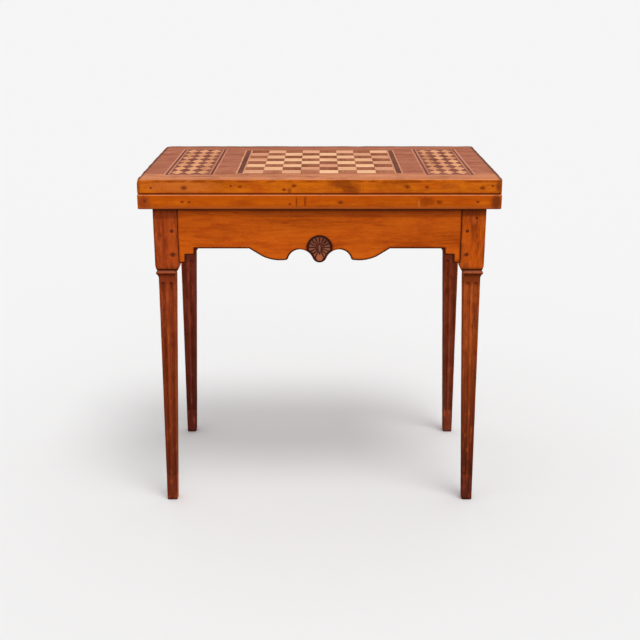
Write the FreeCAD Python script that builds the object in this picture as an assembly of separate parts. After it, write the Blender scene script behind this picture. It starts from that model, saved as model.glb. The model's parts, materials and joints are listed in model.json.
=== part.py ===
import FreeCAD, Part
import math
import os

from FreeCAD import Vector

# Fold-over games table: two stacked leaves on a framed stand with one swinging rear leg.
# Millimetres, +Z up, origin on the floor under the middle of the leaves, front towards -Y.

# Overall sizes
LEAF_WIDTH = 760.0
LEAF_DEPTH = 468.0
TABLE_HEIGHT = 750.0
LEAF_THICK = 31.0
LEAF_GAP = 1.0
OVERHANG = 27.0

# Cuts and fits
OVERRUN = 5.0
MORTISE_SPARE = 1.0
RUNNING_FIT = 0.05

# Edges of the leaves
UPPER_CORNER = 10.0
UPPER_ARRIS = 2.5
LOWER_CORNER = 6.0
LOWER_ARRIS = 1.5
MEETING_ARRIS = 1.0

# Playing cloth let into the meeting faces
CLOTH_BORDER = 48.0
CLOTH_THICK = 1.0
CLOTH_SINK = 0.2

# Inlay of the outer face
INLAY_THICK = 2.0
SQUARE = 40.3
BOARD_COUNT = 8
BAND_WIDTH = 10.8
BAND_STRING = 3.5
PANEL_MARGIN = 49.0
PANEL_SIDE_CLEAR = 25.0
PANEL_END_CLEAR = 40.0
LOZENGE_WIDTH = 27.7
LOZENGE_LENGTH = 49.0
PANEL_STRING = 4.0
PANEL_DARK_STRING = 4.5

# Pegs in the front edges of the leaves, as shares of half the width and of the thickness
EDGE_PEG_RADIUS = 2.0
EDGE_PEG_LENGTH = 24.0
UPPER_PEG_SHARES = (
    (-0.92, 0.42), (-0.74, 0.42), (-0.484, 0.56), (-0.434, 0.50), (-0.193, 0.30),
    (-0.14, 0.56), (0.479, 0.50), (0.585, 0.48), (0.89, 0.42), (0.944, 0.56),
)
LOWER_PEG_SHARES = (
    (-0.957, 0.55), (-0.752, 0.50), (-0.715, 0.48), (-0.163, 0.36),
    (0.117, 0.46), (0.657, 0.48), (0.867, 0.50),
)

# Legs
LEG_BLOCK = 51.0
BLOCK_BELOW_APRON = 15.5
REAR_BLOCK_EXTRA = 45.0
BLOCK_EASE_IN = 2.5
BLOCK_EASE_HEIGHT = 12.0
GROOVE_HEIGHT = 2.0
TORUS_INSET = 0.5
TORUS_WIDTH = 44.0
TORUS_HEIGHT = 9.0
TORUS_LIP = 2.8
CAVETTO_HEIGHT = 8.0
CAVETTO_BOW = 0.5
SHAFT_INSET = 5.5
SHAFT_WIDTH = 36.3
FOOT_INSET = 2.0
FOOT_WIDTH = 23.2
FOOT_EASE = 1.5

# Flutes, two on each face of a leg
FLUTE_PLACE_SHARE = 0.25
FLUTE_TOP_GAP = 14.0
FLUTE_BOTTOM = 66.0
FLUTE_TOP_WIDTH = 10.5
FLUTE_TOP_DEPTH = 3.4
FLUTE_FOOT_WIDTH = 6.0
FLUTE_FOOT_DEPTH = 2.0

# Aprons
APRON_THICK = 24.0
APRON_SETBACK = 1.0
APRON_HEIGHT = 91.5
STEP_UPPER_RUN = 20.0
STEP_LOWER_RUN = 16.0
STEP_UPPER_DROP = 14.0
STEP_LOWER_DROP = 18.0

# Shaped middle of the front apron
OGEE_REACH = 150.5
OGEE_DROP = 26.0
OGEE_TIP_REACH = 68.3
OGEE_TIP_DROP = 25.0
OGEE_SHARES = ((0.82, 0.36), (0.66, 0.67), (0.38, 0.96), (0.12, 1.0))
COVE_TOP_REACH = 41.5
COVE_TOP_DROP = 1.8
DROP_FALL = 30.2
DROP_RADIUS = 15.8

# Carved rosette let into the front apron
ROSETTE_CENTRE_RISE = 2.5
ROSETTE_RADIUS = 27.0
ROSETTE_RIM = 1.2
ROSETTE_SINK = 6.0
ROSETTE_BASE = 3.0
ROSETTE_FIT = 0.2
PETAL_COUNT = 16
PETAL_INNER_RADIUS = 0.9
PETAL_OUTER_RADIUS = 3.6
PETAL_REACH = 33.0
ROSETTE_BAR_RADIUS = 2.6
ROSETTE_BAR_HALF = 6.5
ROSETTE_BAR_DROP = 2.5
ROSETTE_BUD_RADIUS = 8.0
ROSETTE_BUD_DROP = 22.5
ROSETTE_BUD_SINK = 3.0

# Tenons and drawbore pegs
TENON_THICK = 10.0
TENON_LENGTH = 24.0
TENON_TOP_SHOULDER = 25.0
APRON_FOOT_SHOULDER = 6.5
RAIL_FOOT_SHOULDER = 15.0
STUB_TENON_LENGTH = 12.0
PEG_RADIUS = 3.5
PEG_INSET = 12.0
PEG_PAST = 5.0
PEG_HEIGHT_SHARES = (0.14, 0.70)

# Back rails and the wooden knuckle of the gate
RAIL_THICK = 22.0
RAIL_HEIGHT = 112.0
GATE_CLEARANCE = 1.0
KNUCKLE_X = -30.0
KNUCKLE_COUNT = 5
KNUCKLE_GAP = 0.5
GATE_PIN_RADIUS = 4.0
GATE_PIN_RECESS = 3.0

# Glue blocks and the screws through them into the lower leaf
GLUE_BLOCK_LENGTH = 60.0
GLUE_BLOCK_SIDE = 22.0
GLUE_BLOCK_REACH = 150.0
LEAF_SCREW_RADIUS = 2.0
LEAF_SCREW_BITE = 15.0
SCREW_HEAD_RADIUS = 4.0
SCREW_HEAD_HEIGHT = 2.5

# Screws that hold the fixed knuckle rail to the inner rail
RAIL_SCREW_RADIUS = 2.5
RAIL_SCREW_HEAD = 5.0
RAIL_SCREW_BITE = 14.0
RAIL_SCREW_SHARES = ((0.30, 0.28), (0.30, 0.72), (0.78, 0.28), (0.78, 0.72))

# Brass hinges at the back edge
HINGE_END_GAP = 29.0
HINGE_LENGTH = 66.0
HINGE_PLATE_DEPTH = 26.0
HINGE_PLATE_THICK = 2.0
HINGE_KNUCKLES = 3
HINGE_KNUCKLE_GAP = 0.3
BARREL_RADIUS = 3.5
BARREL_CLEARANCE = 0.5
HINGE_PIN_RADIUS = 1.5
HINGE_SCREW_RADIUS = 1.7
HINGE_SCREW_HEAD = 3.5
HINGE_SCREW_LENGTH = 14.0
HINGE_SCREW_SHARES = ((-0.36, 0.40), (0.0, 0.62), (0.36, 0.40))

# Levels and half sizes worked out from the sizes above
HALF_WIDTH = LEAF_WIDTH / 2
HALF_DEPTH = LEAF_DEPTH / 2
UPPER_BOTTOM = TABLE_HEIGHT - LEAF_THICK
LOWER_TOP = UPPER_BOTTOM - LEAF_GAP
FRAME_TOP = LOWER_TOP - LEAF_THICK
FRAME_HALF_X = HALF_WIDTH - OVERHANG
FRAME_HALF_Y = HALF_DEPTH - OVERHANG
SPAN_HALF_X = FRAME_HALF_X - LEG_BLOCK
SPAN_HALF_Y = FRAME_HALF_Y - LEG_BLOCK
APRON_BOTTOM = FRAME_TOP - APRON_HEIGHT
STEP_LOW_LEVEL = APRON_BOTTOM - STEP_UPPER_DROP - STEP_LOWER_DROP
BLOCK_LENGTH = FRAME_TOP - STEP_LOW_LEVEL + BLOCK_BELOW_APRON
REAR_BLOCK_LENGTH = BLOCK_LENGTH + REAR_BLOCK_EXTRA
ROSETTE_Z = APRON_BOTTOM + ROSETTE_CENTRE_RISE
COVE_TOP = APRON_BOTTOM - COVE_TOP_DROP
DROP_BOTTOM = APRON_BOTTOM - DROP_FALL
TENON_TOP = FRAME_TOP - TENON_TOP_SHOULDER
APRON_TENON_BOTTOM = STEP_LOW_LEVEL + APRON_FOOT_SHOULDER
INNER_RAIL_BACK = SPAN_HALF_Y - GATE_CLEARANCE
INNER_RAIL_FRONT = INNER_RAIL_BACK - RAIL_THICK
KNUCKLE_RADIUS = RAIL_THICK / 2
KNUCKLE_Y = SPAN_HALF_Y + KNUCKLE_RADIUS
RAIL_BOTTOM = FRAME_TOP - RAIL_HEIGHT
RAIL_TENON_BOTTOM = RAIL_BOTTOM + RAIL_FOOT_SHOULDER
GATE_TOP = FRAME_TOP - GATE_CLEARANCE
HINGE_Y = HALF_DEPTH + LEAF_GAP / 2
HINGE_Z = LOWER_TOP + LEAF_GAP / 2
HINGE_REACH = HALF_WIDTH - HINGE_END_GAP - HINGE_LENGTH / 2
BOARD_HALF = BOARD_COUNT * SQUARE / 2
BAND_REACH = BOARD_HALF + 2 * BAND_STRING + BAND_WIDTH
PANEL_BORDER = 2 * PANEL_STRING + PANEL_DARK_STRING

# Lozenges that fit beside the chessboard: between its banding and the leaf's margin, and front to back
PANEL_ROOM_X = HALF_WIDTH - PANEL_MARGIN - 2 * PANEL_BORDER - BAND_REACH - PANEL_SIDE_CLEAR
PANEL_ROOM_Y = LEAF_DEPTH - 2 * PANEL_BORDER - 2 * PANEL_END_CLEAR
LOZENGE_COLUMNS = math.floor(PANEL_ROOM_X / LOZENGE_WIDTH)
LOZENGE_ROWS = math.floor(PANEL_ROOM_Y / LOZENGE_LENGTH)
PANEL_CENTRE_X = HALF_WIDTH - PANEL_MARGIN - PANEL_BORDER - LOZENGE_COLUMNS * LOZENGE_WIDTH / 2
UP = Vector(0, 0, 1)


def box(x0, x1, y0, y1, z0, z1):
    """Block between two corners, given in any order along each axis."""
    low = Vector(min(x0, x1), min(y0, y1), min(z0, z1))
    return Part.makeBox(abs(x1 - x0), abs(y1 - y0), abs(z1 - z0), low)


def rod(radius, start, end):
    """Round bar from one point to another."""
    along = end.sub(start)
    return Part.makeCylinder(radius, along.Length, start, along)


def outline(moves):
    """Closed wire: each move is a line to (end,) or an arc through (via, end)."""
    edges = []
    last = moves[-1][-1]
    for move in moves:
        if len(move) == 1:
            edges.append(Part.LineSegment(last, move[0]).toShape())
        else:
            edges.append(Part.Arc(last, move[0], move[1]).toShape())
        last = move[-1]
    return Part.Wire(edges)


def prism(moves, along):
    """Solid made by pushing a closed outline along a vector."""
    return Part.Face(outline(moves)).extrude(along)


def save(name, shapes):
    """Write one node, a single solid or a group of separate solids."""
    shape = shapes[0] if len(shapes) == 1 else Part.makeCompound(shapes)
    shape.exportStep("parts/" + name + ".step")


def cut_all(shape, tools):
    """Take every tool out of a shape."""
    return shape.cut(Part.makeCompound(tools)) if tools else shape


# Leaves and what is let into them

def slab(z0, z1, corner, top_arris, bottom_arris):
    """Leaf board with rounded corners and eased arrises."""
    board = box(-HALF_WIDTH, HALF_WIDTH, -HALF_DEPTH, HALF_DEPTH, z0, z1)
    board = board.makeFillet(corner, [e for e in board.Edges if e.BoundBox.ZLength > LEAF_THICK / 2])
    middle = (z0 + z1) / 2
    board = board.makeFillet(top_arris, [e for e in board.Edges if e.BoundBox.ZMin > middle])
    return board.makeFillet(bottom_arris, [e for e in board.Edges if e.BoundBox.ZMax < middle])


def edge_pegs(bottom, shares):
    """Wooden pegs driven into the front edge of a leaf."""
    pegs = []
    for x_share, z_share in shares:
        start = Vector(x_share * HALF_WIDTH, -HALF_DEPTH, bottom + z_share * LEAF_THICK)
        pegs.append(rod(EDGE_PEG_RADIUS, start, start + Vector(0, EDGE_PEG_LENGTH, 0)))
    return pegs


def cloth(z0, z1):
    """Playing cloth inside the wooden border of a leaf."""
    half_x = HALF_WIDTH - CLOTH_BORDER
    half_y = HALF_DEPTH - CLOTH_BORDER
    return box(-half_x, half_x, -half_y, half_y, z0, z1)


def inlay(x0, x1, y0, y1):
    """Flat inlay strip or square, flush with the outer face of the upper leaf."""
    return box(x0, x1, y0, y1, TABLE_HEIGHT - INLAY_THICK, TABLE_HEIGHT)


def strips(x0, x1, y0, y1, width):
    """Four inlay strips that frame the inside of a rectangle."""
    return [
        inlay(x0, x0 + width, y0, y1),
        inlay(x1 - width, x1, y0, y1),
        inlay(x0 + width, x1 - width, y0, y0 + width),
        inlay(x0 + width, x1 - width, y1 - width, y1),
    ]


def chess_squares(parity):
    """Every second square of the board; the square at the front left has parity 0."""
    squares = []
    for column in range(BOARD_COUNT):
        for row in range(BOARD_COUNT):
            if (column + row) % 2 == parity:
                x = -BOARD_HALF + column * SQUARE
                y = -BOARD_HALF + row * SQUARE
                squares.append(inlay(x, x + SQUARE, y, y + SQUARE))
    return squares


def band_frame(side):
    """Outer rectangle of the banding at one side of the chessboard, as x0, x1, y0, y1."""
    near = BOARD_HALF
    far = BAND_REACH
    half_y = BOARD_HALF + BAND_STRING
    return min(side * near, side * far), max(side * near, side * far), -half_y, half_y


def panel_frame(side, outside):
    """Rectangle of a side panel that lies outside the lozenge field by an amount."""
    centre = side * PANEL_CENTRE_X
    half_x = LOZENGE_COLUMNS * LOZENGE_WIDTH / 2 + outside
    half_y = LOZENGE_ROWS * LOZENGE_LENGTH / 2 + outside
    return centre - half_x, centre + half_x, -half_y, half_y


def lozenge(x, y):
    """Diamond of inlay about a point."""
    level = TABLE_HEIGHT - INLAY_THICK
    tips = [
        (Vector(x + LOZENGE_WIDTH / 2, y, level),),
        (Vector(x, y + LOZENGE_LENGTH / 2, level),),
        (Vector(x - LOZENGE_WIDTH / 2, y, level),),
        (Vector(x, y - LOZENGE_LENGTH / 2, level),),
    ]
    return prism(tips, UP * INLAY_THICK)


def light_lozenges(side):
    """Light diamonds, one in each cell of a side panel."""
    x0, x1, y0, y1 = panel_frame(side, 0)
    return [
        lozenge(x0 + (column + 1 / 2) * LOZENGE_WIDTH, y0 + (row + 1 / 2) * LOZENGE_LENGTH)
        for column in range(LOZENGE_COLUMNS)
        for row in range(LOZENGE_ROWS)
    ]


def dark_lozenges(side):
    """Dark diamonds at the corners of the cells, halved and quartered along the border."""
    x0, x1, y0, y1 = panel_frame(side, 0)
    field = inlay(x0, x1, y0, y1)
    pieces = []
    for column in range(LOZENGE_COLUMNS + 1):
        for row in range(LOZENGE_ROWS + 1):
            piece = lozenge(x0 + column * LOZENGE_WIDTH, y0 + row * LOZENGE_LENGTH)
            if column in (0, LOZENGE_COLUMNS) or row in (0, LOZENGE_ROWS):
                piece = piece.common(field).Solids[0]
            pieces.append(piece)
    return pieces


# Hinges of the leaves

def hinge_segment(centre_x, index, trim):
    """Ends along X of one knuckle of a hinge."""
    pitch = HINGE_LENGTH / HINGE_KNUCKLES
    start = centre_x - HINGE_LENGTH / 2 + index * pitch
    return start + trim, start + pitch - trim


def barrel(centre_x, index, radius, trim):
    """Round bar along the hinge axis over one knuckle."""
    x0, x1 = hinge_segment(centre_x, index, trim)
    return rod(radius, Vector(x0, HINGE_Y, HINGE_Z), Vector(x1, HINGE_Y, HINGE_Z))


def hinge_pin(centre_x):
    """Steel pin through all knuckles of one hinge."""
    half = HINGE_LENGTH / 2
    start = Vector(centre_x - half, HINGE_Y, HINGE_Z)
    return rod(HINGE_PIN_RADIUS, start, start + Vector(HINGE_LENGTH, 0, 0))


def plate_levels(side):
    """Meeting face and buried face of a hinge plate; side is 1 for the upper leaf, -1 for the lower."""
    face = HINGE_Z + side * LEAF_GAP / 2
    return face, face + side * HINGE_PLATE_THICK


def plate_recess(centre_x, side):
    """Space that one hinge takes out of a leaf: the plate's seat and room for the barrel."""
    face, buried = plate_levels(side)
    half = HINGE_LENGTH / 2
    seat = box(centre_x - half, centre_x + half, HALF_DEPTH - HINGE_PLATE_DEPTH, HALF_DEPTH + OVERRUN,
               face - side * OVERRUN, buried)
    reach = half + BARREL_CLEARANCE
    room = rod(BARREL_RADIUS + BARREL_CLEARANCE, Vector(centre_x - reach, HINGE_Y, HINGE_Z),
               Vector(centre_x + reach, HINGE_Y, HINGE_Z))
    return [seat, room]


def hinge_screws(centre_x, side):
    """Countersunk screws of one hinge plate."""
    face, buried = plate_levels(side)
    into = UP * side
    screws = []
    for x_share, y_share in HINGE_SCREW_SHARES:
        head = Vector(centre_x + x_share * HINGE_LENGTH, HALF_DEPTH - y_share * HINGE_PLATE_DEPTH, face)
        cone = Part.makeCone(HINGE_SCREW_HEAD, HINGE_SCREW_RADIUS, HINGE_PLATE_THICK, head, into)
        shank = rod(HINGE_SCREW_RADIUS, head + into * HINGE_PLATE_THICK, head + into * HINGE_SCREW_LENGTH)
        screws.append(cone.fuse(shank).removeSplitter())
    return screws


def hinge_plate(centre_x, side):
    """Brass plate with its knuckles; the lower plate has the even ones, the upper the odd ones."""
    face, buried = plate_levels(side)
    half = HINGE_LENGTH / 2
    near = HALF_DEPTH - BARREL_RADIUS - BARREL_CLEARANCE
    plate = box(centre_x - half, centre_x + half, HALF_DEPTH - HINGE_PLATE_DEPTH, near, face, buried)
    first = 1 if side > 0 else 0
    for index in range(first, HINGE_KNUCKLES, 2):
        x0, x1 = hinge_segment(centre_x, index, HINGE_KNUCKLE_GAP)
        web = box(x0, x1, near, HINGE_Y, face, buried)
        plate = plate.fuse(web).fuse(barrel(centre_x, index, BARREL_RADIUS, HINGE_KNUCKLE_GAP))
    bore = HINGE_PIN_RADIUS + (RUNNING_FIT if side > 0 else 0)
    start = Vector(centre_x - half - OVERRUN, HINGE_Y, HINGE_Z)
    plate = plate.cut(rod(bore, start, start + Vector(HINGE_LENGTH + 2 * OVERRUN, 0, 0)))
    return cut_all(plate, hinge_screws(centre_x, side)).removeSplitter()


# Legs, each in corner coordinates: u and v run inward from the outer faces of the frame

def corner_point(corner, u, v, z):
    """Point of the frame at a corner given by its signs along X and Y."""
    return Vector(corner[0] * (FRAME_HALF_X - u), corner[1] * (FRAME_HALF_Y - v), z)


def corner_box(corner, u0, u1, v0, v1, z0, z1):
    """Block in corner coordinates."""
    a = corner_point(corner, u0, v0, z0)
    b = corner_point(corner, u1, v1, z1)
    return box(a.x, b.x, a.y, b.y, a.z, b.z)


def shaft_at(block_bottom, z):
    """Inset of the outer face and width of the tapered shaft at a level."""
    shaft_top = block_bottom - GROOVE_HEIGHT - TORUS_HEIGHT - CAVETTO_HEIGHT
    share = z / shaft_top
    inset = FOOT_INSET + share * (SHAFT_INSET - FOOT_INSET)
    width = FOOT_WIDTH + share * (SHAFT_WIDTH - FOOT_WIDTH)
    return inset, width


def leg_moves(place, block_bottom, top):
    """Side outline of a leg; place turns an inset and a level into a point."""
    torus_top = block_bottom - GROOVE_HEIGHT
    torus_middle = torus_top - TORUS_HEIGHT / 2
    torus_bottom = torus_top - TORUS_HEIGHT
    shaft_top = torus_bottom - CAVETTO_HEIGHT
    cavetto_middle = (torus_bottom + shaft_top) / 2
    lip_out = TORUS_INSET + TORUS_LIP
    lip_in = TORUS_INSET + TORUS_WIDTH - TORUS_LIP
    shaft_in = SHAFT_INSET + SHAFT_WIDTH
    foot_in = FOOT_INSET + FOOT_WIDTH
    bow_out = (lip_out + SHAFT_INSET) / 2 + CAVETTO_BOW
    bow_in = (lip_in + shaft_in) / 2 - CAVETTO_BOW
    ease_top = block_bottom + BLOCK_EASE_HEIGHT
    return [
        (place(0, top),),
        (place(0, ease_top),),
        (place(BLOCK_EASE_IN, block_bottom),),
        (place(lip_out, block_bottom),),
        (place(lip_out, torus_top),),
        (place(TORUS_INSET, torus_middle), place(lip_out, torus_bottom)),
        (place(bow_out, cavetto_middle), place(SHAFT_INSET, shaft_top)),
        (place(FOOT_INSET, FOOT_EASE),),
        (place(FOOT_INSET + FOOT_EASE, 0),),
        (place(foot_in - FOOT_EASE, 0),),
        (place(foot_in, FOOT_EASE),),
        (place(shaft_in, shaft_top),),
        (place(bow_in, cavetto_middle), place(lip_in, torus_bottom)),
        (place(TORUS_INSET + TORUS_WIDTH, torus_middle), place(lip_in, torus_top)),
        (place(lip_in, block_bottom),),
        (place(LEG_BLOCK - BLOCK_EASE_IN, block_bottom),),
        (place(LEG_BLOCK, ease_top),),
        (place(LEG_BLOCK, top),),
    ]


def flute(start, end, outward):
    """Round-bottomed groove between two points of a face, tapering with the leg."""
    top_radius = (FLUTE_TOP_WIDTH ** 2 / 4 + FLUTE_TOP_DEPTH ** 2) / (2 * FLUTE_TOP_DEPTH)
    foot_radius = (FLUTE_FOOT_WIDTH ** 2 / 4 + FLUTE_FOOT_DEPTH ** 2) / (2 * FLUTE_FOOT_DEPTH)
    top = start + outward * (top_radius - FLUTE_TOP_DEPTH)
    foot = end + outward * (foot_radius - FLUTE_FOOT_DEPTH)
    along = foot.sub(top)
    groove = Part.makeCone(top_radius, foot_radius, along.Length, top, along)
    groove = groove.fuse(Part.makeSphere(top_radius, top))
    return groove.fuse(Part.makeSphere(foot_radius, foot))


def flutes(corner, block_bottom):
    """Two flutes on each of the four faces of a leg."""
    shaft_top = block_bottom - GROOVE_HEIGHT - TORUS_HEIGHT - CAVETTO_HEIGHT
    levels = (shaft_top - FLUTE_TOP_GAP, FLUTE_BOTTOM)
    grooves = []
    for face in ("outer", "inner"):
        for direction in ("x", "y"):
            for place_share in (-FLUTE_PLACE_SHARE, FLUTE_PLACE_SHARE):
                ends = []
                for z in levels:
                    inset, width = shaft_at(block_bottom, z)
                    depth = inset if face == "outer" else inset + width
                    across = inset + width * (1 / 2 + place_share)
                    u, v = (depth, across) if direction == "x" else (across, depth)
                    ends.append(corner_point(corner, u, v, z))
                sign = 1 if face == "outer" else -1
                normal_x = corner[0] * sign if direction == "x" else 0
                normal_y = corner[1] * sign if direction == "y" else 0
                grooves.append(flute(ends[0], ends[1], Vector(normal_x, normal_y, 0)))
    return grooves


def leg(corner, block_length, top):
    """Square leg: block, groove, torus, cavetto and fluted tapering shaft."""
    block_bottom = FRAME_TOP - block_length
    across_y = Vector(0, -corner[1] * LEG_BLOCK, 0)
    across_x = Vector(-corner[0] * LEG_BLOCK, 0, 0)
    front_moves = leg_moves(lambda inset, z: corner_point(corner, inset, 0, z), block_bottom, top)
    side_moves = leg_moves(lambda inset, z: corner_point(corner, 0, inset, z), block_bottom, top)
    shape = prism(front_moves, across_y).common(prism(side_moves, across_x))
    for groove in flutes(corner, block_bottom):
        shape = shape.cut(groove)
    return shape


# Joints of the frame

def swap(direction, along, across):
    """Corner coordinates of something that runs along u or along v."""
    return (along, across) if direction == "x" else (across, along)


def tenon(corner, direction, across, bottom, spare):
    """Tenon that enters a leg along u or v; across gives its two faces from the outer face."""
    near = LEG_BLOCK - TENON_LENGTH - spare
    far = LEG_BLOCK + OVERRUN
    u0, v0 = swap(direction, near, across[0])
    u1, v1 = swap(direction, far, across[1])
    return corner_box(corner, u0, u1, v0, v1, bottom, TENON_TOP)


def joint_pegs(corner, direction, across, bottom):
    """Drawbore pegs of one tenon, driven in from the outer face of the leg."""
    pegs = []
    for share in PEG_HEIGHT_SHARES:
        z = bottom + share * (TENON_TOP - bottom)
        u0, v0 = swap(direction, LEG_BLOCK - PEG_INSET, 0)
        u1, v1 = swap(direction, LEG_BLOCK - PEG_INSET, across[1] + PEG_PAST)
        pegs.append(rod(PEG_RADIUS, corner_point(corner, u0, v0, z), corner_point(corner, u1, v1, z)))
    return pegs


FRONT_LEFT = (-1, -1)
FRONT_RIGHT = (1, -1)
REAR_LEFT = (-1, 1)
REAR_RIGHT = (1, 1)
APRON_TENON_NEAR = APRON_SETBACK + (APRON_THICK - TENON_THICK) / 2
APRON_TENON = (APRON_TENON_NEAR, APRON_TENON_NEAR + TENON_THICK)
RAIL_TENON_NEAR = LEG_BLOCK - (RAIL_THICK + TENON_THICK) / 2
RAIL_TENON = (RAIL_TENON_NEAR, RAIL_TENON_NEAR + TENON_THICK)


# Aprons

def step_moves(place, end, sign):
    """Stepped corner at one end of an apron, from the end inwards or, mirrored, outwards."""
    low = STEP_LOW_LEVEL
    middle = APRON_BOTTOM - STEP_UPPER_DROP
    first = end - sign * STEP_LOWER_RUN
    second = first - sign * STEP_UPPER_RUN
    return [
        (place(end, low),),
        (place(first, low),),
        (place(first, middle),),
        (place(second, middle),),
        (place(second, APRON_BOTTOM),),
    ]


def cove_middle():
    """Middle of the outer arc of a cove, from the ogee's tip to the level top, as x and z."""
    run = OGEE_TIP_REACH - COVE_TOP_REACH
    fall = OGEE_TIP_DROP - COVE_TOP_DROP
    radius = (run ** 2 + fall ** 2) / (2 * fall)
    turn = math.atan2(run, radius - fall) / 2
    return COVE_TOP_REACH + radius * math.sin(turn), COVE_TOP - radius * (1 - math.cos(turn))


def drop_moves(place, inset):
    """Half of the drop's outline inside an inset: the inner arc of a cove runs into the round foot."""
    foot_z = DROP_BOTTOM + DROP_RADIUS
    rise = COVE_TOP - foot_z
    cove_radius = (COVE_TOP_REACH ** 2 + rise ** 2 - DROP_RADIUS ** 2) / (2 * (DROP_RADIUS + rise))
    cove_z = COVE_TOP - cove_radius
    turn = math.atan2(cove_z - foot_z, COVE_TOP_REACH)

    def on_cove(angle):
        reach = cove_radius + inset
        return place(COVE_TOP_REACH + reach * math.cos(angle), cove_z + reach * math.sin(angle))

    def on_foot(angle):
        reach = DROP_RADIUS - inset
        return place(reach * math.cos(angle), foot_z + reach * math.sin(angle))

    top = math.pi / 2
    meeting = turn + math.pi
    bottom = -math.pi / 2
    return [
        (on_cove((top + meeting) / 2), on_cove(meeting)),
        (on_foot((turn + bottom) / 2), on_foot(bottom)),
    ]


def half_front(side):
    """Half of the front apron: stepped end, ogee, cove and its half of the drop under the rosette."""
    face_y = -FRAME_HALF_Y + APRON_SETBACK

    def place(x, z):
        return Vector(side * x, face_y, z)

    run = OGEE_REACH - OGEE_TIP_REACH
    curve = [place(OGEE_TIP_REACH + x_share * run, APRON_BOTTOM - z_share * OGEE_DROP)
             for x_share, z_share in OGEE_SHARES]
    moves = [
        (place(0, FRAME_TOP),),
        (place(SPAN_HALF_X, FRAME_TOP),),
        *step_moves(place, SPAN_HALF_X, 1),
        (place(OGEE_REACH, APRON_BOTTOM),),
        (curve[0], curve[1]),
        (curve[2], curve[3]),
        (place(OGEE_TIP_REACH, APRON_BOTTOM - OGEE_TIP_DROP),),
        (place(*cove_middle()), place(COVE_TOP_REACH, COVE_TOP)),
        *drop_moves(place, 0),
    ]
    return prism(moves, Vector(0, APRON_THICK, 0))


def front_apron():
    """Front apron with tenons at both ends and a sunk bed for the rosette."""
    face_y = -FRAME_HALF_Y + APRON_SETBACK
    shape = half_front(-1).fuse(half_front(1))
    for corner in (FRONT_LEFT, FRONT_RIGHT):
        shape = shape.fuse(tenon(corner, "x", APRON_TENON, APRON_TENON_BOTTOM, 0))
        shape = cut_all(shape, joint_pegs(corner, "x", APRON_TENON, APRON_TENON_BOTTOM))
    recess = rosette_prism(ROSETTE_FIT, face_y - OVERRUN, face_y + ROSETTE_SINK)
    return shape.cut(recess).removeSplitter()


def side_apron(side, rear_end):
    """Side apron with stepped ends; the gate side stops clear of the swinging leg."""
    face_x = side * (FRAME_HALF_X - APRON_SETBACK)

    def place(y, z):
        return Vector(face_x, y, z)

    front = step_moves(place, -SPAN_HALF_Y, -1)
    rear = step_moves(place, rear_end, 1)
    moves = [
        (place(-SPAN_HALF_Y, FRAME_TOP),),
        *front,
        *reversed(rear),
        (place(rear_end, FRAME_TOP),),
    ]
    shape = prism(moves, Vector(-side * APRON_THICK, 0, 0))
    corners = [(side, -1)]
    if side > 0:
        corners.append((side, 1))
    for corner in corners:
        shape = shape.fuse(tenon(corner, "y", APRON_TENON, APRON_TENON_BOTTOM, 0))
        shape = cut_all(shape, joint_pegs(corner, "y", APRON_TENON, APRON_TENON_BOTTOM))
    return shape.cut(stub_tenon(side, MORTISE_SPARE)).removeSplitter()


# Rosette

def rosette_prism(spare, y0, y1):
    """Solid of the rosette's outline between two depths: round above, inside the drop's rim below."""
    inset = ROSETTE_RIM - spare
    radius = ROSETTE_RADIUS + spare
    top = ROSETTE_Z + radius + OVERRUN
    along = Vector(0, y1 - y0, 0)
    halves = []
    for side in (-1, 1):
        def place(x, z):
            return Vector(side * x, y0, z)

        moves = [
            (place(0, top),),
            (place(COVE_TOP_REACH, top),),
            (place(COVE_TOP_REACH, COVE_TOP + inset),),
            *drop_moves(place, inset),
        ]
        halves.append(prism(moves, along))
    centre = Vector(0, y0, ROSETTE_Z)
    arch = rod(radius, centre, centre + along).fuse(box(-radius, radius, y0, y1, DROP_BOTTOM, ROSETTE_Z))
    return halves[0].fuse(halves[1]).common(arch).removeSplitter()


def carved_rosette():
    """Rosette: radiating petals, an upright bar and a bud below it."""
    face_y = -FRAME_HALF_Y + APRON_SETBACK
    bottom = face_y + ROSETTE_SINK
    ground = bottom - ROSETTE_BASE
    centre = Vector(0, ground, ROSETTE_Z)
    shape = rosette_prism(0, ground, bottom)
    trimmed = rosette_prism(0, face_y - ROSETTE_SINK, bottom)
    for index in range(PETAL_COUNT):
        turn = 2 * math.pi * (index + 1 / 2) / PETAL_COUNT
        ray = Vector(math.cos(turn), 0, math.sin(turn))
        petal = Part.makeCone(PETAL_INNER_RADIUS, PETAL_OUTER_RADIUS, PETAL_REACH, centre, ray)
        shape = shape.fuse(petal.common(trimmed))
    bar_top = centre + UP * (ROSETTE_BAR_HALF - ROSETTE_BAR_DROP)
    bar_foot = centre - UP * (ROSETTE_BAR_HALF + ROSETTE_BAR_DROP)
    bar = rod(ROSETTE_BAR_RADIUS, bar_foot, bar_top)
    for end in (bar_foot, bar_top):
        bar = bar.fuse(Part.makeSphere(ROSETTE_BAR_RADIUS, end))
    bud_centre = centre - UP * ROSETTE_BUD_DROP + Vector(0, ROSETTE_BUD_SINK, 0)
    bud = Part.makeSphere(ROSETTE_BUD_RADIUS, bud_centre)
    shape = shape.fuse(bar.common(trimmed)).fuse(bud.common(trimmed))
    return shape.removeSplitter()


# Back rails and gate

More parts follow.
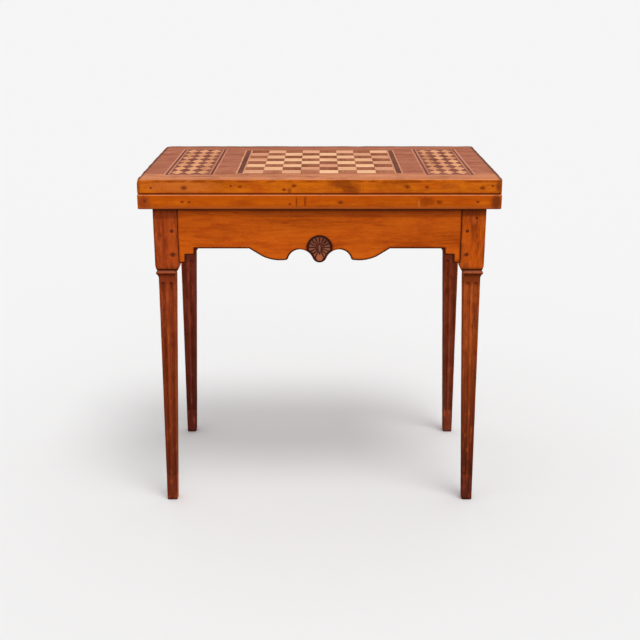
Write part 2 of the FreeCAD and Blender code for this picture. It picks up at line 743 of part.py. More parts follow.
def stub_tenon(side, spare):
    """Stub tenon of the inner rail in a side apron."""
    inner_face = FRAME_HALF_X - APRON_SETBACK - APRON_THICK
    middle = (INNER_RAIL_FRONT + INNER_RAIL_BACK) / 2
    return box(side * (inner_face - OVERRUN), side * (inner_face + STUB_TENON_LENGTH + spare),
               middle - TENON_THICK / 2, middle + TENON_THICK / 2, RAIL_TENON_BOTTOM, TENON_TOP)


def inner_back_rail():
    """Fixed rail between the side aprons, just in front of the rear legs."""
    reach = FRAME_HALF_X - APRON_SETBACK - APRON_THICK
    shape = box(-reach, reach, INNER_RAIL_FRONT, INNER_RAIL_BACK, RAIL_BOTTOM, FRAME_TOP)
    for side in (-1, 1):
        shape = shape.fuse(stub_tenon(side, 0))
    return cut_all(shape, rail_screws()).removeSplitter()


def rail_screws():
    """Screws through the fixed knuckle rail into the inner rail."""
    back = KNUCKLE_Y + KNUCKLE_RADIUS
    start_x = KNUCKLE_X + KNUCKLE_RADIUS
    screws = []
    for x_share, z_share in RAIL_SCREW_SHARES:
        x = start_x + x_share * (SPAN_HALF_X - start_x)
        z = RAIL_BOTTOM + z_share * RAIL_HEIGHT
        head = Vector(x, back, z)
        neck = head - Vector(0, SCREW_HEAD_HEIGHT, 0)
        tip = Vector(x, INNER_RAIL_BACK - RAIL_SCREW_BITE, z)
        screw = rod(RAIL_SCREW_HEAD, head, neck).fuse(rod(RAIL_SCREW_RADIUS, neck, tip))
        screws.append(screw.removeSplitter())
    return screws


def knuckle_levels(index):
    """Bottom and top of one finger of the wooden knuckle joint."""
    pitch = (GATE_TOP - RAIL_BOTTOM) / KNUCKLE_COUNT
    return RAIL_BOTTOM + index * pitch, RAIL_BOTTOM + (index + 1) * pitch


def knuckled_rail(body, side, fingers, top, bore):
    """Rail with interlocking fingers at the gate axis; side is -1 for the rail that swings."""
    reach = KNUCKLE_RADIUS + KNUCKLE_GAP
    axis = Vector(KNUCKLE_X, KNUCKLE_Y, 0)
    shape = body
    for index in fingers:
        z0, z1 = knuckle_levels(index)
        z0 = RAIL_BOTTOM if index == 0 else z0 + KNUCKLE_GAP / 2
        z1 = top if index == KNUCKLE_COUNT - 1 else z1 - KNUCKLE_GAP / 2
        arm = box(KNUCKLE_X, KNUCKLE_X + side * reach, KNUCKLE_Y - KNUCKLE_RADIUS,
                  KNUCKLE_Y + KNUCKLE_RADIUS, z0, z1)
        boss = Part.makeCylinder(KNUCKLE_RADIUS, z1 - z0, axis + UP * z0)
        shape = shape.fuse(arm).fuse(boss)
    return shape.cut(rod(bore, axis, axis + UP * TABLE_HEIGHT)).removeSplitter()


def fixed_knuckle_rail():
    """Outer back rail on the fixed side, held by the rear right leg and the inner rail."""
    start = KNUCKLE_X + KNUCKLE_RADIUS + KNUCKLE_GAP
    body = box(start, SPAN_HALF_X, INNER_RAIL_BACK, KNUCKLE_Y + KNUCKLE_RADIUS, RAIL_BOTTOM, FRAME_TOP)
    body = body.fuse(tenon(REAR_RIGHT, "x", RAIL_TENON, RAIL_TENON_BOTTOM, 0))
    body = cut_all(body, joint_pegs(REAR_RIGHT, "x", RAIL_TENON, RAIL_TENON_BOTTOM) + rail_screws())
    return knuckled_rail(body, 1, range(0, KNUCKLE_COUNT, 2), FRAME_TOP, GATE_PIN_RADIUS)


def fly_rail():
    """Outer back rail that swings with the gate leg."""
    end = KNUCKLE_X - KNUCKLE_RADIUS - KNUCKLE_GAP
    body = box(-SPAN_HALF_X, end, KNUCKLE_Y - KNUCKLE_RADIUS, KNUCKLE_Y + KNUCKLE_RADIUS,
               RAIL_BOTTOM, GATE_TOP)
    body = body.fuse(tenon(REAR_LEFT, "x", RAIL_TENON, RAIL_TENON_BOTTOM, 0))
    body = cut_all(body, joint_pegs(REAR_LEFT, "x", RAIL_TENON, RAIL_TENON_BOTTOM))
    return knuckled_rail(body, -1, range(1, KNUCKLE_COUNT, 2), GATE_TOP, GATE_PIN_RADIUS + RUNNING_FIT)


def gate_pin():
    """Iron pin of the wooden knuckle joint."""
    axis = Vector(KNUCKLE_X, KNUCKLE_Y, 0)
    return rod(GATE_PIN_RADIUS, axis + UP * RAIL_BOTTOM, axis + UP * (FRAME_TOP - GATE_PIN_RECESS))


# Glue blocks and leaf screws

def glue_block_boxes():
    """Blocks in the angle between the frame and the lower leaf."""
    half = GLUE_BLOCK_LENGTH / 2
    side = GLUE_BLOCK_SIDE
    z0 = FRAME_TOP - side
    front = -FRAME_HALF_Y + APRON_SETBACK + APRON_THICK
    end = FRAME_HALF_X - APRON_SETBACK - APRON_THICK
    blocks = []
    for sign in (-1, 1):
        x = sign * GLUE_BLOCK_REACH
        blocks.append(box(x - half, x + half, front, front + side, z0, FRAME_TOP))
        blocks.append(box(x - half, x + half, INNER_RAIL_FRONT - side, INNER_RAIL_FRONT, z0, FRAME_TOP))
        blocks.append(box(sign * end, sign * (end - side), -half, half, z0, FRAME_TOP))
    return blocks


def leaf_screws():
    """Screws up through the glue blocks into the lower leaf."""
    screws = []
    for block in glue_block_boxes():
        middle = block.CenterOfMass
        neck = Vector(middle.x, middle.y, FRAME_TOP - GLUE_BLOCK_SIDE)
        head = rod(SCREW_HEAD_RADIUS, neck - UP * SCREW_HEAD_HEIGHT, neck)
        shank = rod(LEAF_SCREW_RADIUS, neck, neck + UP * (GLUE_BLOCK_SIDE + LEAF_SCREW_BITE))
        screws.append(head.fuse(shank).removeSplitter())
    return screws


# Leaves as built

def lower_leaf():
    """Fixed leaf: cloth sunk in its top, hinge seats at the back, screw holes below."""
    shape = slab(FRAME_TOP, LOWER_TOP, LOWER_CORNER, MEETING_ARRIS, LOWER_ARRIS)
    tools = [cloth(LOWER_TOP - CLOTH_SINK - CLOTH_THICK, LOWER_TOP + OVERRUN)]
    for side in (-1, 1):
        tools += plate_recess(side * HINGE_REACH, -1)
        tools += hinge_screws(side * HINGE_REACH, -1)
    tools += edge_pegs(FRAME_TOP, LOWER_PEG_SHARES)
    tools += leaf_screws()
    for tool in tools:
        shape = shape.cut(tool)
    return shape


def upper_leaf():
    """Folding leaf: inlay pockets in its outer face, cloth and hinge seats in its meeting face."""
    shape = slab(UPPER_BOTTOM, TABLE_HEIGHT, UPPER_CORNER, UPPER_ARRIS, MEETING_ARRIS)
    tools = [inlay(-BOARD_HALF, BOARD_HALF, -BOARD_HALF, BOARD_HALF)]
    tools.append(cloth(UPPER_BOTTOM - OVERRUN, UPPER_BOTTOM + CLOTH_SINK + CLOTH_THICK))
    for side in (-1, 1):
        tools.append(inlay(*band_frame(side)))
        tools.append(inlay(*panel_frame(side, PANEL_BORDER)))
        tools += plate_recess(side * HINGE_REACH, 1)
        tools += hinge_screws(side * HINGE_REACH, 1)
    tools += edge_pegs(UPPER_BOTTOM, UPPER_PEG_SHARES)
    for tool in tools:
        shape = shape.cut(tool)
    return shape


# Legs as built, with their mortises and peg holes

def jointed_leg(corner, block_length, top, joints):
    """Leg with a mortise and peg holes for each joint, given as direction, faces and lower level."""
    shape = leg(corner, block_length, top)
    for direction, across, bottom in joints:
        shape = shape.cut(tenon(corner, direction, across, bottom, MORTISE_SPARE))
        shape = cut_all(shape, joint_pegs(corner, direction, across, bottom))
    return shape


os.makedirs("parts", exist_ok=True)

FRONT_JOINT = ("x", APRON_TENON, APRON_TENON_BOTTOM)
SIDE_JOINT = ("y", APRON_TENON, APRON_TENON_BOTTOM)
RAIL_JOINT = ("x", RAIL_TENON, RAIL_TENON_BOTTOM)

save("front_left_leg", [jointed_leg(FRONT_LEFT, BLOCK_LENGTH, FRAME_TOP, (FRONT_JOINT, SIDE_JOINT))])
save("front_right_leg", [jointed_leg(FRONT_RIGHT, BLOCK_LENGTH, FRAME_TOP, (FRONT_JOINT, SIDE_JOINT))])
save("rear_right_leg", [jointed_leg(REAR_RIGHT, REAR_BLOCK_LENGTH, FRAME_TOP, (RAIL_JOINT, SIDE_JOINT))])
save("gate_leg", [jointed_leg(REAR_LEFT, REAR_BLOCK_LENGTH, GATE_TOP, (RAIL_JOINT,))])

save("front_apron", [front_apron()])
save("left_apron", [side_apron(-1, INNER_RAIL_BACK)])
save("right_apron", [side_apron(1, SPAN_HALF_Y)])
save("carved_rosette", [carved_rosette()])
save("inner_back_rail", [inner_back_rail()])
save("fixed_knuckle_rail", [fixed_knuckle_rail()])
save("fly_rail", [fly_rail()])
save("gate_pin", [gate_pin()])

front_pegs = [peg for corner in (FRONT_LEFT, FRONT_RIGHT) for peg in joint_pegs(corner, *FRONT_JOINT)]
pegged_sides = (FRONT_LEFT, FRONT_RIGHT, REAR_RIGHT)
side_pegs = [peg for corner in pegged_sides for peg in joint_pegs(corner, *SIDE_JOINT)]
save("front_apron_pegs", front_pegs)
save("side_apron_pegs", side_pegs)
save("fixed_rail_pegs", joint_pegs(REAR_RIGHT, *RAIL_JOINT))
save("gate_pegs", joint_pegs(REAR_LEFT, *RAIL_JOINT))
save("fixed_rail_screws", rail_screws())

save("glue_blocks", [cut_all(block, leaf_screws()) for block in glue_block_boxes()])
save("leaf_screws", leaf_screws())

save("lower_leaf", [lower_leaf()])
save("lower_leaf_pegs", edge_pegs(FRAME_TOP, LOWER_PEG_SHARES))
save("lower_playing_cloth", [cloth(LOWER_TOP - CLOTH_SINK - CLOTH_THICK, LOWER_TOP - CLOTH_SINK)])

save("upper_leaf", [upper_leaf()])
save("upper_leaf_pegs", edge_pegs(UPPER_BOTTOM, UPPER_PEG_SHARES))
save("upper_playing_cloth", [cloth(UPPER_BOTTOM + CLOTH_SINK, UPPER_BOTTOM + CLOTH_SINK + CLOTH_THICK)])

save("chess_light_squares", chess_squares(0))
save("chess_dark_squares", chess_squares(1))
bands = []
band_strings = []
panel_light = []
panel_dark = []
for side in (-1, 1):
    x0, x1, y0, y1 = band_frame(side)
    bands.append(inlay(x0 + BAND_STRING, x1 - BAND_STRING, y0 + BAND_STRING, y1 - BAND_STRING))
    band_strings += strips(x0, x1, y0, y1, BAND_STRING)
    panel_light += strips(*panel_frame(side, PANEL_STRING), PANEL_STRING)
    panel_dark += strips(*panel_frame(side, PANEL_STRING + PANEL_DARK_STRING), PANEL_DARK_STRING)
    panel_light += strips(*panel_frame(side, PANEL_BORDER), PANEL_STRING)
save("chess_dark_bands", bands)
save("chess_light_stringing", band_strings)
save("panel_light_stringing", panel_light)
save("panel_dark_stringing", panel_dark)

for name, side in (("left", -1), ("right", 1)):
    save(name + "_panel_light_lozenges", light_lozenges(side))
    save(name + "_panel_dark_lozenges", dark_lozenges(side))
    save(name + "_hinge_lower_plate", [hinge_plate(side * HINGE_REACH, -1)])
    save(name + "_hinge_upper_plate", [hinge_plate(side * HINGE_REACH, 1)])
    save(name + "_hinge_pin", [hinge_pin(side * HINGE_REACH)])

for name, leaf_side in (("lower", -1), ("upper", 1)):
    left_screws = hinge_screws(-HINGE_REACH, leaf_side)
    right_screws = hinge_screws(HINGE_REACH, leaf_side)
    save(name + "_hinge_screws", left_screws + right_screws)
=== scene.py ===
import bisect
import functools
import json
import math

import bmesh
import bpy
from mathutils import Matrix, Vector, noise


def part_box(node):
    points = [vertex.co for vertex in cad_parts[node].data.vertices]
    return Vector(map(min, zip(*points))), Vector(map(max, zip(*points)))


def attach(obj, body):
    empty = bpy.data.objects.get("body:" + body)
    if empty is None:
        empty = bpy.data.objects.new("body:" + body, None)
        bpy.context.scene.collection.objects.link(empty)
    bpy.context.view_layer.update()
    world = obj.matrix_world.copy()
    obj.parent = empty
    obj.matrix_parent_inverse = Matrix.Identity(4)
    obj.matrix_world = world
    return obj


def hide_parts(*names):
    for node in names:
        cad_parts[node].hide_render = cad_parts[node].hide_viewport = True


# Fold-over games table: finishes of every piece, worn copies of the wooden ones, the carved rosette,
# the baize, the studio and the camera. Metres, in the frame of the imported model.

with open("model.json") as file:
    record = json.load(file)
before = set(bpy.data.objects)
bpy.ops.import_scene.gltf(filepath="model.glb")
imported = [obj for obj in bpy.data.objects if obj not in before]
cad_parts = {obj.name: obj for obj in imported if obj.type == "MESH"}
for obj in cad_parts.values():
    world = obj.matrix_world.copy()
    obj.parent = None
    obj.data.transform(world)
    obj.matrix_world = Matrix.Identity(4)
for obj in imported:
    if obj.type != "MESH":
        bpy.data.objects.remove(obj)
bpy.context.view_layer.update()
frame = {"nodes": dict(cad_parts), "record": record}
nodes = frame["nodes"]
BODIES = frame["record"]["behaviour"]["bodies"]
BODY_OF = {node: body for body, members in BODIES.items() for node in members}
SLOT_OF = {part["node"]: part["material_slot"] for part in frame["record"]["subparts"]}

X, Y, Z = 0, 1, 2
MM = 0.001

# Camera of the photograph
CAMERA_PLACE = (0.001, -2.390, 1.134)
CAMERA_TILT = math.radians(72.275)
CAMERA_LENS = 59.1
SENSOR_WIDTH = 36.0

# Studio
FLOOR_HALF = 300.0
FLOOR_TONE = (0.925, 0.925, 0.925, 1.0)
WHITE = (1.0, 1.0, 1.0, 1.0)
BACKDROP_STRENGTH = 0.913
FILL_STRENGTH = 0.675
LAMPS = {
    "overhead": {"strength": 1.0, "angle": 26.0, "towards": (0.21, -0.34, 1.0)},
    "frontal": {"strength": 0.20, "angle": 40.0, "towards": (0.30, -1.0, 0.35)},
}

# Places on the leaves, the apron and the front legs, from the frame
LEAF_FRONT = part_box("upper_leaf")[0][Y]
LEAF_HALF, LEAF_REAR, LEAF_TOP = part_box("upper_leaf")[1]
LEAF_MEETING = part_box("lower_leaf")[1][Z]
FRAME_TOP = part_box("front_apron")[1][Z]
LEG_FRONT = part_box("front_left_leg")[0][Y]
JOINT_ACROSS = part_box("front_right_leg")[0][X]

# Legs: the block, then a groove, a torus and a cavetto above the tapering shaft
BLOCK_BOTTOM = {
    "front_left_leg": 548 * MM,
    "front_right_leg": 548 * MM,
    "rear_right_leg": 503 * MM,
    "gate_leg": 503 * MM,
}
GROOVE_HEIGHT = 2 * MM
TORUS_HEIGHT = 9 * MM
CAVETTO_HEIGHT = 8 * MM


def smooth(low, high, value):
    """Smooth step between two limits."""
    share = min(max((value - low) / (high - low), 0.0), 1.0)
    return share * share * (3 - 2 * share)


def near(reach, gap):
    """1 at no gap, falling smoothly to 0 at a reach."""
    return 1 - smooth(0, reach, gap)


CHANCE_SPREAD = 1999


def chance(place):
    """Number from -1 to 1 fixed by a place."""
    return noise.cell(place * CHANCE_SPREAD)


def srgb(red, green, blue):
    """Linear colour of 8-bit screen values."""
    def linear(value):
        share = value / 255
        return share / 12.92 if share <= 0.04045 else ((share + 0.055) / 1.055) ** 2.4

    return linear(red), linear(green), linear(blue), 1.0


def shaded(colour, red, green, blue):
    """Colour with each part scaled."""
    scaled = [min(part * share, 1.0) for part, share in zip(colour, (red, green, blue))]
    return (*scaled, 1.0)


# Boxes and meshes of the CAD nodes

JOIN_DISTANCE = 0.02 * MM


def corners(node):
    """Lowest and highest corner of a node's box."""
    return [Vector(corner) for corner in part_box(node)]


def joined_mesh(node):
    """Copy of a CAD mesh whose faces share their points."""
    shape = bmesh.new()
    shape.from_mesh(nodes[node].data)
    bmesh.ops.remove_doubles(shape, verts=shape.verts, dist=JOIN_DISTANCE)
    return shape


def islands(shape):
    """Groups of faces joined by ordinary edges: the separate solids of a group."""
    groups = []
    seen = set()
    for start in shape.faces:
        if start in seen:
            continue
        seen.add(start)
        group = []
        waiting = [start]
        while waiting:
            face = waiting.pop()
            group.append(face)
            for edge in face.edges:
                if len(edge.link_faces) == 2:
                    for other in edge.link_faces:
                        if other not in seen:
                            seen.add(other)
                            waiting.append(other)
        groups.append(group)
    return groups


def solid_middles(node):
    """Middle of each separate solid of a node."""
    shape = joined_mesh(node)
    middles = []
    for group in islands(shape):
        points = {vertex for face in group for vertex in face.verts}
        middles.append(sum((vertex.co for vertex in points), Vector()) / len(points))
    shape.free()
    return middles


# Materials

class Finish:
    """Node tree of a material or of the surroundings, with short calls for the nodes that they share."""

    def __init__(self, name, owners=bpy.data.materials, shader="Principled BSDF", **constants):
        self.made = owners.new(name)
        self.made.use_nodes = True
        self.tree = self.made.node_tree
        self.shader = self.tree.nodes[shader]
        self.set(**constants)

    def set(self, **sockets):
        """Values or links of the shader; underscores stand for spaces in the socket names."""
        for name, value in sockets.items():
            self.join(value, self.shader.inputs[name.replace("_", " ")])

    def join(self, value, socket):
        """Link an output to a socket, or set a plain value on it."""
        if isinstance(value, bpy.types.NodeSocket):
            self.tree.links.new(value, socket)
        else:
            socket.default_value = value

    def add(self, kind, inputs=None, **settings):
        """New node with its settings; its inputs are named or numbered."""
        node = self.tree.nodes.new("ShaderNode" + kind)
        for name, value in settings.items():
            setattr(node, name, value)
        for name, value in (inputs or {}).items():
            self.join(value, node.inputs[name])
        return node

    def coords(self):
        """Place on the piece in metres, which moves with it."""
        return self.add("TexCoord").outputs["Object"]

    def axes(self, vector):
        """The three parts of a vector."""
        return self.add("SeparateXYZ", {"Vector": vector}).outputs

    def place(self):
        """Place on the piece as its three parts."""
        return self.axes(self.coords())

    def facing(self):
        """Direction of the surface, which moves with the piece, as its three parts."""
        return self.axes(self.add("TexCoord").outputs["Normal"])

    def looking(self, way):
        """1 on faces that look a way, 0 on the others."""
        axis, low, high = way
        return self.span(self.facing()[axis], low, high)

    def mapped(self, vector, scale=(1, 1, 1), shift=(0, 0, 0)):
        """Vector scaled and then shifted."""
        return self.add("Mapping", {"Vector": vector, "Location": shift, "Scale": scale}).outputs[0]

    def length(self, vector):
        """Length of a vector."""
        return self.add("VectorMath", {0: vector}, operation="LENGTH").outputs["Value"]

    def noise(self, scale, detail=2.0, roughness=0.5, vector=None, output="Fac"):
        """Noise over the piece, or over another vector."""
        vector = vector or self.coords()
        inputs = {"Vector": vector, "Scale": scale, "Detail": detail, "Roughness": roughness}
        return self.add("TexNoise", inputs).outputs[output]

    def maths(self, operation, first, second=0.0):
        """Sum, product or the like of two values."""
        return self.add("Math", {0: first, 1: second}, operation=operation).outputs[0]

    def apart(self, value, centre):
        """How far a value is from a centre."""
        return self.maths("ABSOLUTE", self.maths("SUBTRACT", value, centre))

    def times(self, *values):
        """Product of values."""
        return functools.reduce(functools.partial(self.maths, "MULTIPLY"), values)

    def weighted(self, *pairs):
        """Sum of values, each times its weight."""
        parts = [self.maths("MULTIPLY", value, weight) for value, weight in pairs]
        return functools.reduce(functools.partial(self.maths, "ADD"), parts)

    def span(self, value, low, high, start=0.0, end=1.0):
        """A value between two limits, stretched to another range and held there outside them."""
        limits = {"From Min": low, "From Max": high, "To Min": start, "To Max": end}
        return self.add("MapRange", {"Value": value, **limits}).outputs[0]

    def ramp(self, value, *stops):
        """Colour ramp; each stop is a place and a colour."""
        node = self.add("ValToRGB", {"Fac": value})
        elements = node.color_ramp.elements
        while len(elements) < len(stops):
            elements.new(0.5)
        for element, (place, colour) in zip(elements, stops):
            element.position = place
            element.color = colour
        return node.outputs["Color"]

    def mix(self, share, first, second):
        """Two colours mixed; the share is that of the second."""
        return self.add("Mix", {0: share, 6: first, 7: second}, data_type="RGBA").outputs[2]

    def bump(self, height, distance, strength):
        """Surface direction with a fine relief."""
        inputs = {"Height": height, "Distance": distance, "Strength": strength}
        return self.add("Bump", inputs).outputs["Normal"]

    def edges(self, radius, full=0.86):
        """1 on the sharp edges of the piece, 0 on its faces; full is the cosine where it reaches 1."""
        rounded = self.add("Bevel", {"Radius": radius}, samples=6).outputs["Normal"]
        flat = self.add("NewGeometry").outputs["Normal"]
        cosine = self.add("VectorMath", {0: rounded, 1: flat}, operation="DOT_PRODUCT").outputs["Value"]
        return self.span(cosine, 0.995, full)

    def hollows(self, reach):
        """1 in corners and hollows narrower than a reach, 0 in the open."""
        open_share = self.add("AmbientOcclusion", {"Distance": reach}, samples=8).outputs["AO"]
        return self.span(open_share, 0.92, 0.35)

    def attribute(self, name):
        """Number stored on the piece."""
        return self.add("Attribute", attribute_name=name).outputs["Fac"]


# Wood: noise scales per metre, squeezed along the grain

GRAIN_STRETCH = 13.0
PORE_STRETCH = 26.0
WAVER_SCALE = 2.2
WAVER_REACH = 0.05
BROAD_SCALE = 34.0
STREAK_SCALE = 210.0
FIBRE_SCALE = 1250.0
PORE_SCALE = 900.0
BLOTCH_SCALE = 13.0
RELIEF = 0.45 * MM
DIRT_AND_SHADE_REACH = 14 * MM
WAX_ROUGHNESS = 0.42
# Colour of dirt, and of painted shade in hollows and corners
DIRT_AND_SHADE = srgb(52, 18, 7)
# Painted shade under and between parts and on faces that look down
PAINTED_SHADE = srgb(48, 10, 2)


def grain_coords(finish, along, stretch, shift):
    """Coordinates squeezed along the grain and wavering a little across it."""
    place = finish.mapped(finish.coords(), shift=(shift, 2 * shift, 3 * shift))
    drift = finish.noise(WAVER_SCALE, vector=place, output="Color")
    waver = finish.add("VectorMath", {0: drift, 1: (WAVER_REACH,) * 3, 2: place}, operation="MULTIPLY_ADD")
    squeeze = [1.0, 1.0, 1.0]
    squeeze[along] = 1.0 / stretch
    return finish.mapped(waver.outputs[0], scale=squeeze)


def figured(finish, figure, colour):
    """Tones of one wood colour along its figure, darker ones redder and lighter ones yellower."""
    dark = shaded(colour, 0.66, 0.58, 0.52)
    light = shaded(colour, 1.16, 1.24, 1.34)
    return finish.ramp(figure, (0.37, dark), (0.50, colour), (0.63, light))


def wood(name, along, colour, shift, overlays=(), stain=None, dirt_and_shade_share=0.75, dirt_and_shade_reach=DIRT_AND_SHADE_REACH,
         roughness=WAX_ROUGHNESS):
    """Waxed wood: broad figure, streaks, fibres, pores, blotches, overlays, and dirt and painted shade in
    the hollows.
    """
    finish = Finish(name, Specular_IOR_Level=0.0, Coat_Weight=0.05, Coat_Roughness=0.30)
    grain = grain_coords(finish, along, GRAIN_STRETCH, shift)
    broad = finish.noise(BROAD_SCALE, 3.0, vector=grain)
    streak = finish.noise(STREAK_SCALE, 4.0, 0.6, grain)
    fibre = finish.noise(FIBRE_SCALE, vector=grain)
    blotch = finish.noise(BLOTCH_SCALE, 4.0, 0.65)
    figure = finish.weighted((broad, 0.42), (streak, 0.36), (fibre, 0.22))
    tone = figured(finish, figure, colour)
    if stain:
        tone = finish.mix(finish.span(blotch, 0.52, 0.74, 0.0, 0.5), tone, stain)
    for rule in overlays:
        mask, tint = rule(finish, figure)
        tone = finish.mix(mask, tone, tint)
    pores = finish.noise(PORE_SCALE, 1.0, vector=grain_coords(finish, along, PORE_STRETCH, shift + 1.0))
    pore = finish.span(pores, 0.62, 0.72)
    tone = finish.mix(finish.times(pore, 0.4), tone, shaded(colour, 0.5, 0.42, 0.36))
    # Dirt and painted shade in the hollows
    if dirt_and_shade_share:
        tone = finish.mix(finish.times(finish.hollows(dirt_and_shade_reach), dirt_and_shade_share), tone, DIRT_AND_SHADE)
    finish.set(Base_Color=tone)
    uneven = finish.weighted((streak, 0.5), (blotch, 0.5))
    finish.set(Roughness=finish.span(uneven, 0.35, 0.65, roughness - 0.08, roughness + 0.12))
    relief = finish.weighted((fibre, 0.5), (streak, 0.6), (blotch, 0.8), (pore, -0.5))
    finish.set(Normal=finish.bump(relief, RELIEF, 0.55))
    return finish.made


# Overlays of a wood: each gives a mask and the colour that shows there

LEAF_SHADE = FRAME_TOP - 5.5 * MM
SHADE_REACH = 12 * MM
EDGE_FADE = 20 * MM
SHADOW_FADE = 30 * MM
UPWARD = (Z, 0.55, 0.95)
DOWNWARD = (Z, -0.10, -0.55)
RIGHTWARD = (X, 0.5, 0.9)


def overlay(rule):
    """Let a rule be called with its own values; its finish and figure come later, from the wood."""
    def keep(*values, **named):
        return lambda finish, figure: rule(finish, figure, *values, **named)

    return keep


@overlay
def turned(finish, figure, way, colour, share=1.0):
    """Another tone on the faces that look one way."""
    return finish.times(finish.looking(way), share), figured(finish, figure, colour)


@overlay
def front_strip(finish, figure, level, blur, colour):
    """The paler strip of the top along its front edge."""
    depth = finish.weighted((finish.place()[Y], 1.0), (finish.noise(30.0, 3.0), blur))
    strip = finish.span(depth, level + blur, level - blur)
    return finish.times(strip, finish.looking(UPWARD)), figured(finish, figure, colour)


@overlay
def rubbed_and_lit_arris(finish, figure, colour, share):
    """The rounded front edge of a leaf, rubbed pale and painted with a highlight in uneven stretches."""
    facing = finish.facing()
    bend = finish.times(finish.span(facing[Z], 0.30, 0.55), finish.span(facing[Z], 0.995, 0.94))
    bend = finish.times(bend, finish.span(facing[Y], 0.0, -0.15))
    stretches = finish.mapped(finish.coords(), scale=(14.0, 14.0, 60.0))
    uneven = finish.span(finish.noise(1.0, 4.0, 0.65, stretches), 0.34, 0.58)
    return finish.times(bend, uneven, share), figured(finish, figure, colour)


@overlay
def grimy_rim(finish, figure, reach, colour, share):
    """Dark line along the side and rear edges of the top."""
    place = finish.place()
    across = finish.maths("ABSOLUTE", place[X])
    sides = finish.span(across, LEAF_HALF - reach, LEAF_HALF - reach / 2)
    back = finish.span(place[Y], LEAF_REAR - 1.6 * reach, LEAF_REAR - 0.8 * reach)
    rim = finish.maths("MAXIMUM", sides, back)
    return finish.times(rim, finish.span(finish.facing()[Z], 0.1, 0.5), share), colour


@overlay
def leaf_shade(finish, figure, share):
    """Dark line under the lower leaf, fading downwards."""
    close = finish.span(finish.place()[Z], LEAF_SHADE - SHADE_REACH, LEAF_SHADE)
    return finish.times(close, close, share), PAINTED_SHADE


@overlay
def dark_edges(finish, figure, radius, colour, share, top=None):
    """Darker along the edges, thin above a given level."""
    mask = finish.times(finish.edges(radius, 0.93), share)
    if top is not None:
        mask = finish.times(mask, finish.span(finish.place()[Z], top, top - EDGE_FADE, 0.35, 1.0))
    return mask, colour


@overlay
def dark_arris(finish, figure, colour, share):
    """Dark line on the rounded edges of a front: painted shade and dirt."""
    ahead = finish.facing()[Y]
    return finish.times(finish.span(ahead, -0.998, -0.965), finish.span(ahead, 0.3, 0.0), share), colour


@overlay
def joint_lines(finish, figure, half, colour, share):
    """Dark upright lines where the front apron meets its legs."""
    away = finish.apart(finish.maths("ABSOLUTE", finish.place()[X]), JOINT_ACROSS)
    return finish.times(finish.span(away, half, half / 2), share), colour


def at_level(finish, level, half):
    """1 close to a level, 0 away from it."""
    return finish.span(finish.apart(finish.place()[Z], level), 1.3 * half, 0.6 * half)


@overlay
def level_line(finish, figure, level, half, colour, share):
    """Line of another colour round a piece at one level."""
    return finish.times(at_level(finish, level, half), share), colour


@overlay
def edge_line(finish, figure, level, half, colour, share, broken=False):
    """Line of another colour along the edge of a leaf at one level, not on its faces; whole or broken."""
    slope = finish.maths("ABSOLUTE", finish.facing()[Z])
    mask = finish.times(at_level(finish, level, half), share, finish.span(slope, 0.97, 0.80))
    if broken:
        mask = finish.times(mask, finish.span(finish.noise(38.0, 4.0), 0.40, 0.58))
    return mask, colour


@overlay
def in_flutes(finish, figure, colour, share):
    """Dirt and painted shade in the flutes of a leg, darkest along their middle, thick in some stretches,
    thin in others.
    """
    stretches = finish.mapped(finish.coords(), scale=(40.0, 40.0, 16.0))
    thick = finish.span(finish.noise(1.0, 3.0, vector=stretches), 0.36, 0.60, 0.25, 1.0)
    hollow = finish.attribute("hollow")
    depth = finish.weighted((finish.span(hollow, 0.05, 0.5), 0.4), (finish.span(hollow, 0.5, 0.85), 0.6))
    return finish.times(depth, thick, share), colour


@overlay
def mottled(finish, figure, along, size, low, high, colour, share, shift=0.0):
    """Short streaks of another tone along the grain."""
    scale = [1 / size] * 3
    scale[along] = 0.3 / size
    patches = finish.noise(1.0, 4.0, 0.6, finish.mapped(finish.coords(), scale, (shift,) * 3))
    return finish.times(finish.span(patches, low, high), share), figured(finish, figure, colour)


@overlay
def worn_top(finish, figure, size, colour, share, shift=0.0):
    """Cloudy patches of another tone on the upper face."""
    clouds = finish.noise(1 / size, 5.0, 0.62, finish.mapped(finish.coords(), shift=(shift,) * 3))
    mask = finish.times(finish.span(clouds, 0.50, 0.68), finish.looking(UPWARD), share)
    return mask, figured(finish, figure, colour)


@overlay
def below(finish, figure, level, blur, colour):
    """Everything under a level, with a soft limit."""
    return finish.span(finish.place()[Z], level + blur, level - blur), figured(finish, figure, colour)


@overlay
def above(finish, figure, level, blur, colour, share, start=None):
    """Painted shadow above a level, with a soft and uneven limit; thin to the left of a start."""
    place = finish.place()
    uneven = finish.weighted((place[Z], 1.0), (finish.noise(60.0, 3.0), blur))
    mask = finish.times(finish.span(uneven, level, level + 2 * blur), share)
    if start is not None:
        mask = finish.times(mask, finish.span(place[X], start - SHADOW_FADE, start + SHADOW_FADE, 0.3, 1.0))
    return mask, colour


@overlay
def spot(finish, figure, place, half, colour, share):
    """Stain about a place with given half sizes and a ragged outline."""
    scale = [1 / size for size in half]
    shift = [-centre / size for centre, size in zip(place, half)]
    away = finish.length(finish.mapped(finish.coords(), scale, shift))
    ragged = finish.weighted((away, 1.0), (finish.noise(220.0, 3.0), 0.9))
    return finish.times(finish.span(ragged, 1.5, 0.9), share), colour


def front_marks(front, top, *rows):
    """Spots on a front; a row has the place across and down from the top, half sizes, colour and share."""
    spots = []
    for across, down, half, colour, share in rows:
        place = (across * MM, front, top - down * MM)
        spots.append(spot(place, [size * MM for size in half], srgb(*colour), share))
    return spots


